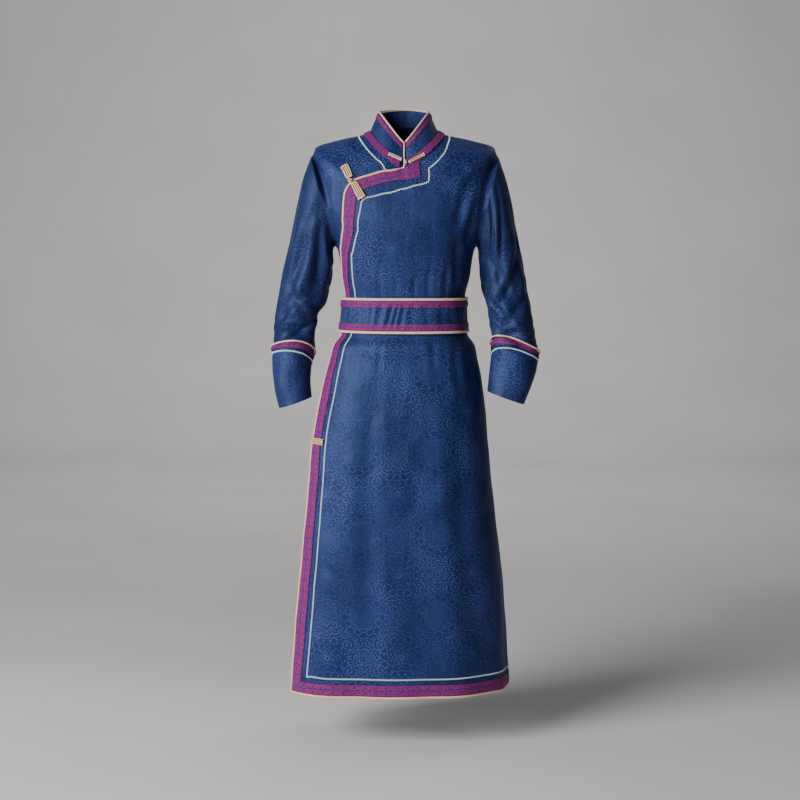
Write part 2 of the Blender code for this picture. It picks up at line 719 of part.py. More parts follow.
def build_sleeve(side):
    downs = [row[0] for row in RING_ROWS[side]]
    last = downs[RINGS_TO_CUFF - 1]
    rows = [armhole_row(side, 0.0), armhole_row(side, SEAM_RUN)]
    rows += [arm_row(side, down) for down in downs[:RINGS_TO_CUFF]]
    rows += [arm_row(side, lambda around: (last + cuff_line(side, around, -SEAM)) / 2),
             arm_row(side, lambda around: cuff_line(side, around, -SEAM))]
    tube(f"sleeve_{side}", side, rows, "satin", -CLOTH, 0.0)

    def below_line(drop):
        return arm_row(side, lambda around: cuff_line(side, around, drop))

    def below_trims(t):
        return arm_row(side, lambda around: (1 - t) * cuff_line(side, around, CUFF_DROPS[-1])
                       + t * downs[-1])

    tube(f"cuff_{side}", side, [below_line(drop) for drop in CUFF_DROPS]
         + [below_trims(0.4), below_trims(0.7), below_trims(1.0)], "satin", -CLOTH, 0.0)
    tube(f"braid_cuff_{side}", side, [below_line(drop) for drop in CUFF_BRAID_DROPS], "braid",
         CUFF_TRIM_LIFT, CUFF_TRIM_LIFT + TRIM_WALL)
    angles = [360 * k / (2 * YOKE_ROWS) for k in range(2 * YOKE_ROWS)]
    line = [sleeve_point(side, cuff_line(side, around), around, FINE_CORD + CUFF_TRIM_LIFT)
            for around in angles]
    cord(f"piping_cuff_{side}", line, FINE_CORD, "piping", closed=True)


# ---------------------------------------------------------------- collar

def collar_point(turn, h, out=0.0):
    """A point of the collar: h is 0 at the neck seam and 1 at its top edge."""
    base = body_point(turn, NECK) + Vector((0, 0, SEAM))
    s, c = math.sin(math.radians(turn)), math.cos(math.radians(turn))
    rise = abs(s) ** COLLAR_V_SHAPE if c > 0 else abs(s) ** 2
    end = COLLAR_V if c > 0 else COLLAR_BACK_Z
    depth = COLLAR_TOP_FRONT if c > 0 else COLLAR_TOP_BACK
    top = Vector((COLLAR_TOP_WIDTH * s, -depth * c, end + (COLLAR_SIDE_Z - end) * rise))
    flat = Vector((s / COLLAR_TOP_WIDTH, -c / depth, 0)).normalized()
    return base.lerp(top, h) + flat * out


def neck_turns(overlap, under, back, gap):
    """Turns round the neck at which the panels have a point, between two ends at the front."""
    turns = {round(place[0] % 360, 4) for panel in (overlap, under, back) for place in panel[-1]
             if place[1] > NECK - 1e-6}
    inside = [turn for turn in sorted(turns) if gap + 3 < turn < 357 - gap]
    return [gap] + inside + [360 - gap]


def collar_wall(name, turns, heights, look, wall_from, wall_to):
    """A wall on the collar; each height is a function of the turn."""
    outer, inner = ([[collar_point(turn, height(turn), out) for turn in turns] for height in heights]
                    for out in (wall_to, wall_from))
    cloth(name, outer, inner, look)


def below_top(turn, distance):
    """Height on the collar a distance below its top edge, or near its foot where it is low."""
    tall = (collar_point(turn, 1) - collar_point(turn, 0)).length
    return max(0.5, 1 - distance / tall)


def build_collar(turns):
    collar_wall("collar", turns, [lambda turn, h=h: h for h in (0, 0.33, 0.66, 1)], "satin",
                -CLOTH, 0.0)
    collar_wall("braid_collar", turns,
                [lambda turn, d=d: below_top(turn, d) for d in (0.001 + COLLAR_BRAID, 0.001)],
                "braid", TRIM_LIFT, TRIM_LIFT + TRIM_WALL)
    points = []
    edge = [collar_point(turn, 1) for turn in turns]
    for k, turn in enumerate(turns):
        ahead = (edge[min(k + 1, len(turns) - 1)] - edge[min(k, len(turns) - 2)]).normalized()
        ahead += (edge[max(k, 1)] - edge[max(k - 1, 0)]).normalized()
        normal = ahead.cross(edge[k] - collar_point(turn, 0))
        over = normal.cross(ahead).normalized()
        points.append(collar_point(turn, 1, -CLOTH / 2) + over * (FINE_CORD + 2 * SEAM))
    points[0] = points[0].lerp(points[1], 0.35)
    slit = [collar_point(0, h, -CLOTH / 2) for h in (1, 0.75, 0.5, 0.12)]
    slit[0].z += 0.0040
    cord("piping_collar", points[:-1] + slit, FINE_CORD, "piping")


# ---------------------------------------------------------------- trims of body and belt

def front_edge(overlap):
    """The overlap's free edge: along the hem to its corner, up the side and along the lapel."""
    hem = overlap[0][:0:-1]
    side = [line[0] for line in overlap[:-1]]
    return hem + side + overlap[-1][:LAPEL_COLUMNS + 1]


def braid_width(place):
    """Full width of the trim on the overlap's edge: narrower on the lapel."""
    return LAPEL_BRAID + (BRAID - LAPEL_BRAID) * ease((ARMPIT - place[1]) / 0.2)


def clear_of_corner(path, room):
    """The path with its places along the hem spread anew, to leave a trim room at the corner."""
    corner = opening_at(HEM).turn
    along, _ = slopes_at(corner, HEM)
    first, last = path[0][0], corner + room / along.length
    hem = [(first + (last - first) * k / FRONT_COLUMNS, HEM) for k in range(FRONT_COLUMNS + 1)]
    return hem + path[FRONT_COLUMNS:]


def hem_end(path, edge, up):
    """The edge begun straight above the path's first place, where it meets the side seam."""
    return [(path[0][0], HEM + up)] + edge[1:]


def build_front_trims(overlap):
    path = front_edge(overlap)
    path[0] = (path[0][0] - HEM_TRIM_SHORT, HEM)
    edge_cord("piping_front", path, on_over, EDGE_CORD)
    braid_path = clear_of_corner(path[:-1], BRAID + CORNER_ROOM)
    ends = [place_on_front(*seen) for seen in LAPEL_BRAID_END]
    ends.insert(1, tuple((a + b) / 2 for a, b in zip(*ends)))
    edges = []
    for share, end in zip((0.0, 0.5, 1.0), ends):
        edge = beside(braid_path, lambda place: EDGE_INSET + share * (braid_width(place) - EDGE_INSET))
        edges.append(hem_end(path, edge, EDGE_INSET + share * (BRAID - EDGE_INSET))[:-1] + [end])
    ribbon("braid_front", edges, on_over, "braid")


def build_back_trims(back, under):
    reach = opening_at(HEM).turn - UNDER_HEM_SHORT
    hem = [(turn + 360, row) for turn, row in under[0] if turn < reach][::-1] + back[0][::-1]
    hem[-1] = (hem[-1][0] + HEM_TRIM_SHORT, HEM)
    edge_cord("piping_back_hem", hem, on_under, EDGE_CORD)
    edges = [[(turn, HEM + up) for turn, row in hem] for up in (EDGE_INSET, BRAID)]
    ribbon("braid_back_hem", edges, on_under, "braid")


def neck_layer(turn, row, out=0.0):
    front_left = 0 < turn < 90
    return on_over(turn, row, out) if front_left else on_under(turn, row, out)


def build_neck_trims(turns):
    near = [(turn, NECK - 0.0006) for turn in turns]
    far = [(turn, BRAID_ROW) for turn in turns]
    ribbon("braid_neck", (near, far), neck_layer, "braid", out=NECK_TRIM_LIFT)


def belt_point(turn, row, out=0.0):
    """A point of the belt's outer face: it stands further out where it spans the lap."""
    turn = (turn + 180) % 360 - 180
    over_lap = ease((turn + 112) / 30) * ease((75 - turn) / 30)
    stand_off = BELT_OUT + BELT_OUT_ON_LAP * over_lap
    return body_point(turn, row) + outward(turn, row) * (stand_off + out)


def build_belt():
    turns = [360 * k / BELT_COLUMNS for k in range(BELT_COLUMNS)]

    def wall(name, rows, look, wall_from, wall_to):
        outer, inner = ([[belt_point(turn, row, out) for turn in turns] for row in rows]
                        for out in (wall_to, wall_from))
        cloth(name, outer, inner, look, ring=True)

    wall("belt", (BELT_BOTTOM, (BELT_BOTTOM + BELT_TOP) / 2, BELT_TOP), "satin", -BELT_WALL, 0.0)
    top_braid = BELT_TOP - EDGE_INSET
    foot_braid = BELT_BOTTOM + EDGE_INSET
    for name, low in (("braid_belt_top", top_braid - BELT_BRAID), ("braid_belt_bottom", foot_braid)):
        wall(name, (low, low + BELT_BRAID), "braid", TRIM_LIFT, TRIM_LIFT + TRIM_WALL)
    for name, row, away in (("piping_belt_top", BELT_TOP, 1), ("piping_belt_bottom", BELT_BOTTOM, -1)):
        lift = Vector((0, 0, away * (BELT_CORD + SEAM)))
        cord(name, [belt_point(turn, row, BELT_CORD - BELT_WALL) + lift for turn in turns], BELT_CORD,
             "piping", closed=True)


# ---------------------------------------------------------------- frogs

def frog_layer(layer):
    return on_over if layer == "over" else neck_layer if layer == "neck" else on_under


def build_tab(tab):
    """A frog's tab of cords laid side by side: ridged across its width, rounded at its ends."""
    layer = frog_layer(tab.layer)
    angle = math.radians(tab.angle)
    across = 2 * tab.cords
    outer, inner = [], []
    for j in range(TAB_ROWS + 1):
        t = 2 * j / TAB_ROWS - 1
        narrow = 1 - 0.25 * abs(t) ** 4
        rows = ([], [])
        for i in range(across + 1):
            s = (2 * i / across - 1) * narrow
            reach = t * (1 - 0.12 * abs(s) ** 3) * tab.length / 2
            x = tab.x + reach * math.cos(angle) + s * tab.width / 2 * math.sin(angle)
            z = tab.z + reach * math.sin(angle) - s * tab.width / 2 * math.cos(angle)
            turn, row = place_on_front(x, z, layer=layer)
            ridge = (i % 2) * tab.width / tab.cords * 0.35 * (1 - 0.4 * t * t)
            rows[0].append(layer(turn, row, tab.lift + TAB_WALL + ridge))
            rows[1].append(layer(turn, row, tab.lift))
        outer.append(rows[0])
        inner.append(rows[1])
    cloth(tab.name, outer, inner, "frog")


def build_knot(knot):
    """A frog's ball button of knotted cord."""
    layer = frog_layer(knot.layer)
    centre = layer(*place_on_front(knot.x, knot.z, layer=layer), knot.stand_off)
    mesh = bpy.data.meshes.new(knot.name)
    shape = bmesh.new()
    bmesh.ops.create_icosphere(shape, subdivisions=2, radius=knot.radius)
    bmesh.ops.translate(shape, vec=centre, verts=shape.verts)
    shape.to_mesh(mesh)
    shape.free()
    mesh.shade_smooth()
    finish_object(knot.name, mesh, "frog")


def main():
    for obj in list(bpy.data.objects):
        bpy.data.objects.remove(obj)
    collection = bpy.data.collections.new(COLLECTION)
    bpy.context.scene.collection.children.link(collection)
    overlap, under, back = overlap_places(), under_places(), back_places()
    build_panels(overlap, under, back)
    for side in SLEEVES:
        build_sleeve(side)
    build_collar(neck_turns(overlap, under, back, COLLAR_FROM))
    build_belt()
    build_front_trims(overlap)
    build_back_trims(back, under)
    build_neck_trims(neck_turns(overlap, under, back, NECK_BRAID_FROM))
    for tab in TABS:
        build_tab(tab)
    for knot in KNOTS:
        build_knot(knot)


main()
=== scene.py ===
"""Mongolian deel robe: jacquard satin robe with its belt, braid, piping, rickrack and frogs."""
import math
from collections import namedtuple
from functools import lru_cache

import bmesh
import bpy
import numpy as np
from bpy.props import FloatProperty, FloatVectorProperty, IntProperty, PointerProperty
from mathutils import Matrix, Vector


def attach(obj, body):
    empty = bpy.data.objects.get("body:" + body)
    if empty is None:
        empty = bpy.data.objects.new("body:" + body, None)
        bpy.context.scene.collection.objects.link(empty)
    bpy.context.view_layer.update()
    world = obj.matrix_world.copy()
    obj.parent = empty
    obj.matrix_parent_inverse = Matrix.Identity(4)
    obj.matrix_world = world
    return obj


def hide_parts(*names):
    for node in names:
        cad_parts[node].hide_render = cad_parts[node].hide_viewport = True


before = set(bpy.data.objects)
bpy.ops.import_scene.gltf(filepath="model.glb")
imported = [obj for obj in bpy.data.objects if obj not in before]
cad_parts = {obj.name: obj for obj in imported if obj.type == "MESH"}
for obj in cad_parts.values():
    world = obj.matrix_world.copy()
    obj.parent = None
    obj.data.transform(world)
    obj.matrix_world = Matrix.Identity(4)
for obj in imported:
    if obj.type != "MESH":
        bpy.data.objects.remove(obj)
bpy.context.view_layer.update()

bl_info = {
    "name": "Mongolian Deel Robe",
    "version": (1, 0, 0),
    "blender": (4, 5, 0),
    "location": "View3D > Sidebar > Deel",
    "description": "Dresses the packed robe with its cloth, trims, frogs and stitching",
    "category": "Object",
}

# Walls, gaps and laps
CLOTH = 0.0018          # satin with its backing
SEAM = 0.0003           # gap between sewn pieces
LAP_LIFT = 0.0045       # the overlap rides this far outside the layer below it
TRIM_LIFT = 0.0013      # trims ride this far outside the cloth
NECK_TRIM_LIFT = 0.0021
CUFF_TRIM_LIFT = 0.0018
TRIM_WALL = 0.0010

# Trims
EDGE_CORD = 0.0027      # radius of the piping on lapel, side opening and hem
FINE_CORD = 0.0021      # radius of the piping on collar and cuffs
BELT_CORD = 0.0031
BELT_WALL = 0.0022
BELT_OUT = 0.0045       # the belt's outer face off the lower layer
BELT_OUT_ON_LAP = 0.0065
BRAID = 0.026
LAPEL_BRAID = 0.025
BELT_BRAID = 0.0145
COLLAR_BRAID = 0.012
RICKRACK = 0.0036
RICKRACK_FROM_EDGE = 0.038
EDGE_INSET = 0.0012     # trims stop this far inside a panel's edge
COLLAR_EDGE_INSET = 0.001
NECK_BRAID_DROP = 0.0006   # the neckline braid's upper edge, below the neck seam
RICKRACK_LIFT = 0.0007     # rickrack's middle off the cloth
RICKRACK_REACH = 0.0012    # its swing to each side
RICKRACK_CORD = 0.00115    # and its radius
STITCH_PITCH = 1.45     # stitches start this many of their lengths apart
STITCH_RADIUS = 0.00030
CUFF_HEM = 0.009        # the cuffs' hems are stitched this far from their edges
CUFF_HEM_LIFT = 0.00015
STITCH_ROWS = (0.055, 0.945)   # shares of a braid's width that its two rows of stitches lie at
STITCH_CREST = 0.78     # and the share of its wall
BRAID_SHELL = 0.9       # share of the trims' wall that their thin shells have
BELT_SHELL = 0.8        # and of the belt's
WELD_WITHIN = 1e-7      # points closer than this are one
SHARP_ANGLE = math.radians(48)   # edges that turn more than this are drawn sharp
HALFWAY = CLOTH / 2     # the middle of the cloth's wall, where edge cords are sewn
CUFF_BRAID_RISES = (-0.0157, -0.0037)   # edges of the cuff's braid, from the cuff line
CUFF_RICKRACK_DROP = 0.0230           # and the rickrack's upper edge

# Grid sizes of the panels and trims
TRIM_COLUMNS = 6
YOKE_ROWS = 8           # rows between armpit and shoulder, on each side of an armhole
ROW_STEP = 0.085        # rows below the armpit are no further apart
FRONT_COLUMNS = 21
LAPEL_COLUMNS = 8       # of the front's columns, those that end on the lapel's upper edge
NECK_CORNER_CLEAR = (8.0, 6.5, 3.0)   # degrees the rows below the neck corner are drawn aside
UNDER_COLUMNS = 10
BACK_COLUMNS = 20

ROUND = 2.45            # squareness of the body rings where the table gives none
SLEEVE_ROUND = 2.2
FIRST_RING = 0.06       # how far down the arm the first sleeve ring counts as

Section = namedtuple("Section", "side_z front_z back_z mid_x half_width front back square dip")
BODY = (
    # hem to neck; square is for the wearer's right front, dip shapes the rise from centre front
    Section(-1.300, -1.300, -1.300, -0.005, 0.258, 0.165, 0.175, 3.6, 2.0),   # hem
    Section(-1.060, -1.060, -1.060, -0.003, 0.241, 0.157, 0.166, 3.5, 2.0),   # knee
    Section(-0.850, -0.850, -0.850, -0.005, 0.217, 0.148, 0.155, 3.3, 2.0),   # thigh
    Section(-0.720, -0.720, -0.720, -0.006, 0.206, 0.142, 0.147, 3.1, 2.0),   # seat
    Section(-0.600, -0.600, -0.600, -0.001, 0.189, 0.132, 0.134, 2.9, 2.0),   # hip
    Section(-0.530, -0.530, -0.530, 0.001, 0.174, 0.123, 0.122, 2.8, 2.0),    # high hip
    Section(-0.457, -0.457, -0.457, 0.002, 0.1455, 0.108, 0.103, 2.6, 2.0),   # belt, lower edge
    Section(-0.377, -0.377, -0.377, 0.004, 0.1406, 0.106, 0.100, 2.5, 2.0),   # belt, upper edge
    Section(-0.330, -0.335, -0.330, 0.005, 0.150, 0.113, 0.105, 2.45, 2.0),   # ribs
    Section(-0.268, -0.275, -0.268, 0.004, 0.160, 0.121, 0.111, 2.45, 2.0),   # armpit
    Section(-0.160, -0.206, -0.160, 0.003, 0.201, 0.126, 0.115, 2.45, 2.0),   # chest
    Section(-0.100, -0.174, -0.104, 0.002, 0.208, 0.121, 0.112, 2.45, 2.0),   # upper chest
    Section(-0.034, -0.135, -0.044, 0.002, 0.206, 0.112, 0.102, 2.45, 2.0),   # shoulder point
    Section(-0.008, -0.107, -0.006, 0.001, 0.145, 0.103, 0.085, 2.3, 1.6),    # mid shoulder
    Section(0.004, -0.083, 0.013, 0.000, 0.0945, 0.092, 0.068, 2.2, 1.4),     # neckline braid
    Section(0.012, -0.060, 0.024, 0.000, 0.079, 0.082, 0.058, 2.2, 1.4),      # neck seam
)
HEM, ARMPIT, SHOULDER, BRAID_ROW, NECK = -1.300, -0.268, -0.034, 0.004, 0.012
BELT_TOP, BELT_BOTTOM = -0.3835, -0.4535
BELT_BRAIDS = (("top", BELT_TOP - EDGE_INSET - BELT_BRAID), ("bottom", BELT_BOTTOM + EDGE_INSET))

# Armholes: how far they open from the side, in degrees of turn
ARMHOLE_FRONT = 38.0
ARMHOLE_BACK = 40.0

# Soft lengthwise waves of the skirt: they start at a row and are deepest at the hem
Wave = namedtuple("Wave", "turn_top turn_hem starts width depth")
SKIRT_WAVES = (
    Wave(-20, -24, -0.80, 9, 0.0090),
    Wave(12, 14, -0.95, 10, 0.0050),
    Wave(47, 45, -0.75, 11, 0.0080),
    Wave(78, 74, -0.90, 9, 0.0060),
    Wave(118, 112, -0.60, 12, 0.0100),
    Wave(150, 148, -0.75, 11, 0.0120),
    Wave(186, 189, -0.62, 12, 0.0110),
    Wave(221, 226, -0.80, 11, 0.0120),
    Wave(252, 256, -0.70, 10, 0.0070),
)

# The side opening: the overlap's free edge below the armpit, and how far it stands off there
Opening = namedtuple("Opening", "row turn flare")
SIDE_OPENING = (
    Opening(-1.300, -58, 0.0100),
    Opening(-1.060, -58, 0.0100),
    Opening(-0.850, -60, 0.0085),
    Opening(-0.600, -63, 0.0060),
    Opening(-0.530, -65, 0.0030),
    Opening(-0.457, -68, 0.0),
    Opening(-0.377, -69, 0.0),
    Opening(-0.330, -67, 0.0),
    Opening(-0.268, -60, 0.0),
)
FLARE_REACH = 0.055

# Lapel edge as seen from the front, from the neck to its corner and from there to the armpit
LAPEL_TOP = ((0.0028, -0.0750), (-0.008, -0.0815), (-0.044, -0.0855), (-0.076, -0.0945),
             (-0.104, -0.1040), (-0.1195, -0.1120))
LAPEL_SIDE = ((-0.1290, -0.1235), (-0.1345, -0.140), (-0.1365, -0.160), (-0.1385, -0.186),
              (-0.1390, -0.221))

LAPEL_BRAID_END = ((0.036, -0.0635), (0.037, -0.1020))   # upper and lower corner of its braid's end

# Rickrack over the wearer's left chest, from the shoulder seam to below the lapel
FRONT_RICKRACK = ((0.100, -0.020), (0.0925, -0.040), (0.0765, -0.0600), (0.0545, -0.0790),
                  (0.0545, -0.109), (0.022, -0.117), (-0.009, -0.125), (-0.050, -0.135),
                  (-0.088, -0.1445), (-0.0985, -0.153), (-0.1025, -0.175), (-0.1075, -0.221),
                  (-0.1165, -0.2556), (-0.1225, -0.280))
# and round the neck at the wearer's right, from the lapel to the shoulder seam
NECK_RICKRACK = ((-0.0446, -0.0822), (-0.0448, -0.0745), (-0.0665, -0.0560), (-0.0860, -0.0350),
                 (-0.0985, -0.0185))
NECK_RICKRACK_ROW = 0.0006

# Sleeve rings in the plane of the arm: their outer and inner ends, and their reach front to back
Ring = namedtuple("Ring", "outer_x outer_z inner_x inner_z mid_y half_depth")
SLEEVES = {
    "right": (
        Ring(-0.2204, -0.050, -0.1640, -0.259, -0.003, 0.0790),
        Ring(-0.2382, -0.097, -0.1670, -0.268, -0.003, 0.0800),
        Ring(-0.2489, -0.145, -0.1675, -0.281, -0.002, 0.0800),
        Ring(-0.2619, -0.206, -0.1670, -0.296, 0.000, 0.0780),
        Ring(-0.2749, -0.268, -0.1690, -0.316, 0.002, 0.0750),
        Ring(-0.2903, -0.339, -0.1745, -0.346, 0.002, 0.0710),
        Ring(-0.3034, -0.410, -0.1813, -0.382, -0.004, 0.0670),
        Ring(-0.3081, -0.460, -0.2000, -0.420, -0.012, 0.0620),
        Ring(-0.3110, -0.500, -0.2090, -0.490, -0.020, 0.0560),
        Ring(-0.3105, -0.548, -0.2190, -0.543, -0.028, 0.0520),
        Ring(-0.3058, -0.590, -0.2200, -0.576, -0.036, 0.0490),
        Ring(-0.2940, -0.637, -0.2180, -0.611, -0.043, 0.0460),
    ),
    "left": (
        Ring(0.2240, -0.053, 0.1720, -0.259, -0.003, 0.0790),
        Ring(0.2400, -0.100, 0.1750, -0.268, -0.003, 0.0800),
        Ring(0.2520, -0.150, 0.1760, -0.281, -0.002, 0.0800),
        Ring(0.2643, -0.211, 0.1770, -0.296, 0.000, 0.0780),
        Ring(0.2761, -0.273, 0.1790, -0.316, 0.002, 0.0750),
        Ring(0.2891, -0.339, 0.1830, -0.346, 0.002, 0.0710),
        Ring(0.3010, -0.405, 0.1870, -0.382, -0.004, 0.0670),
        Ring(0.3100, -0.462, 0.1990, -0.422, -0.012, 0.0620),
        Ring(0.3165, -0.505, 0.2080, -0.490, -0.020, 0.0570),
        Ring(0.3130, -0.546, 0.2030, -0.540, -0.028, 0.0530),
        Ring(0.3020, -0.582, 0.1990, -0.566, -0.036, 0.0500),
        Ring(0.2820, -0.628, 0.1965, -0.597, -0.043, 0.0460),
    ),
}
CUFF_LINE = {"right": (0.412, 0.024, 62.0), "left": (0.408, 0.024, 105.0)}  # way down, swing, peak
SEAM_RUN = 0.006        # the sleeve leaves its armhole halfway in line with the body for this far

# Creases of the sleeves: angle round the arm (0 outer, 90 front), way down, slant and size
Crease = namedtuple("Crease", "around down drift length width depth")
SLEEVE_CREASES = {side: [Crease(*row) for row in rows] for side, rows in {
    "right": (
        (118, 0.17, 10, 0.090, 17, 0.008), (62, 0.22, -18, 0.075, 16, 0.006),
        (100, 0.37, 40, 0.045, 24, 0.009), (200, 0.35, -30, 0.050, 26, 0.008),
        (285, 0.25, 25, 0.080, 22, 0.007),
    ),
    "left": (
        (112, 0.20, -26, 0.080, 17, 0.008), (60, 0.26, 24, 0.070, 16, 0.006),
        (95, 0.38, -40, 0.045, 24, 0.008), (210, 0.34, 30, 0.050, 26, 0.008),
        (290, 0.22, -25, 0.080, 22, 0.007),
    ),
}.items()}

# Collar: its top edge, open in a V at the front
COLLAR_TOP_WIDTH = 0.0600
COLLAR_TOP_FRONT = 0.0660
COLLAR_TOP_BACK = 0.0560
COLLAR_V = -0.022
COLLAR_SIDE_Z = 0.055
COLLAR_BACK_Z = 0.064
COLLAR_V_SHAPE = 1.15
COLLAR_FROM = 3.4       # degrees of turn from centre front to each end of the collar
COLLAR_SLIT = (1.0, 0.87, 0.75, 0.62, 0.5, 0.38, 0.25, 0.12)   # heights of the cord down the slit
COLLAR_SLIT_RISE = (0.0040, 0.0015)   # and how far its first ones are raised
NECK_BRAID_FROM = 7.0   # and to each end of the neckline braid
UNDER_HEM_SHORT = 6.0   # the under front's hem trim stops this far in turn before the side opening
CORNER_ROOM = 0.006     # a trim's places on the hem are this much further from the corner
HEM_TRIM_SHORT = 0.4    # and hem trims stop this far in turn before the side seam

# Frogs: the middle of each tab as seen from the front, its lengthwise angle, size and height
# above its layer, and the ball buttons that join them
Tab = namedtuple("Tab", "name layer x z angle length width cords lift")
TABS = (
    Tab("frog_chest_upper", "under", -0.1310, -0.0862, 296.0, 0.034, 0.0205, 4, 0.0006),
    Tab("frog_chest_lower", "over", -0.1055, -0.1295, 118.0, 0.046, 0.0200, 4, 0.0028),
    Tab("frog_neck_right", "neck", -0.0212, -0.0522, 336.0, 0.036, 0.0074, 2, 0.0036),
    Tab("frog_neck_left", "neck", 0.0300, -0.0560, 209.0, 0.044, 0.0074, 2, 0.0036),
    Tab("frog_hip", "over", -0.1990, -0.7110, 175.0, 0.030, 0.0160, 4, 0.0028),
)
TAB_WAIST = 0.26
Knot = namedtuple("Knot", "name layer x z radius stand_off")
KNOTS = (
    Knot("knot_chest", "under", -0.1215, -0.1080, 0.0050, 0.0125),
    Knot("knot_neck", "over", 0.0040, -0.0675, 0.0044, 0.0075),
)


# ------------------------------------------------------------ folds and creases of the worn cloth

# Soft folds as seen from the front or the back: from one end to the other, half width and depth
Fold = namedtuple("Fold", "x z x_end z_end width depth")
FRONT_FOLDS = [Fold(*row) for row in (
    # over the belt and below the bust, where the overlap is drawn in
    (-0.060, -0.300, -0.052, -0.380, 0.0060, 0.0016),
    (-0.095, -0.310, -0.088, -0.380, 0.0055, 0.0014),
    (-0.020, -0.325, -0.018, -0.382, 0.0050, 0.0010),
    (0.022, -0.315, 0.024, -0.382, 0.0060, 0.0013),
    (0.058, -0.300, 0.052, -0.380, 0.0065, 0.0017),
    (0.100, -0.290, 0.090, -0.378, 0.0070, 0.0020),
    (0.120, -0.240, 0.118, -0.360, 0.0080, 0.0022),
    # drags from the armholes into the chest
    (0.150, -0.100, 0.118, -0.215, 0.0110, 0.0034),
    (0.168, -0.150, 0.140, -0.262, 0.0090, 0.0036),
    (-0.155, -0.090, -0.146, -0.215, 0.0085, 0.0030),
    (0.085, -0.085, 0.150, -0.068, 0.0120, 0.0016),
    (0.020, -0.190, 0.075, -0.240, 0.0160, 0.0014),
    # skirt: long soft hollows, and the short drags beside the side opening
    (-0.088, -0.520, -0.080, -1.270, 0.0220, 0.0038),
    (0.020, -0.640, 0.028, -1.290, 0.0280, 0.0026),
    (0.120, -0.560, 0.160, -1.290, 0.0260, 0.0040),
    (-0.180, -1.062, -0.120, -1.105, 0.0090, 0.0028),
    (-0.176, -1.118, -0.112, -1.150, 0.0085, 0.0026),
    (-0.186, -0.995, -0.150, -1.028, 0.0080, 0.0018),
    (-0.190, -1.185, -0.140, -1.205, 0.0080, 0.0018),
    (0.060, -0.470, 0.072, -0.560, 0.0080, 0.0016),
    (-0.050, -0.470, -0.060, -0.545, 0.0070, 0.0013),
    (0.110, -0.470, 0.128, -0.600, 0.0090, 0.0022),
    (-0.108, -0.470, -0.125, -0.560, 0.0080, 0.0016),
)]
BACK_FOLDS = [Fold(*row) for row in (
    # over the belt, across the blades and down the skirt
    (-0.070, -0.270, -0.055, -0.378, 0.0090, 0.0026),
    (-0.030, -0.300, -0.026, -0.380, 0.0070, 0.0018),
    (0.012, -0.285, 0.014, -0.380, 0.0080, 0.0022),
    (0.052, -0.300, 0.046, -0.380, 0.0075, 0.0020),
    (0.090, -0.260, 0.078, -0.376, 0.0090, 0.0028),
    (-0.112, -0.250, -0.098, -0.374, 0.0090, 0.0026),
    (0.150, -0.110, 0.095, -0.250, 0.0140, 0.0044),
    (-0.152, -0.115, -0.100, -0.240, 0.0130, 0.0042),
    (0.120, -0.060, 0.030, -0.100, 0.0170, 0.0022),
    (-0.105, -0.070, -0.020, -0.125, 0.0170, 0.0020),
    (-0.045, -0.470, -0.060, -0.640, 0.0100, 0.0028),
    (0.030, -0.470, 0.036, -0.600, 0.0090, 0.0024),
    (0.088, -0.470, 0.110, -0.680, 0.0120, 0.0032),
    (-0.100, -0.470, -0.128, -0.660, 0.0110, 0.0028),
    (-0.010, -0.700, -0.020, -1.290, 0.0260, 0.0050),
    (0.130, -0.760, 0.150, -1.290, 0.0220, 0.0046),
    (-0.150, -0.720, -0.175, -1.290, 0.0240, 0.0046),
)]

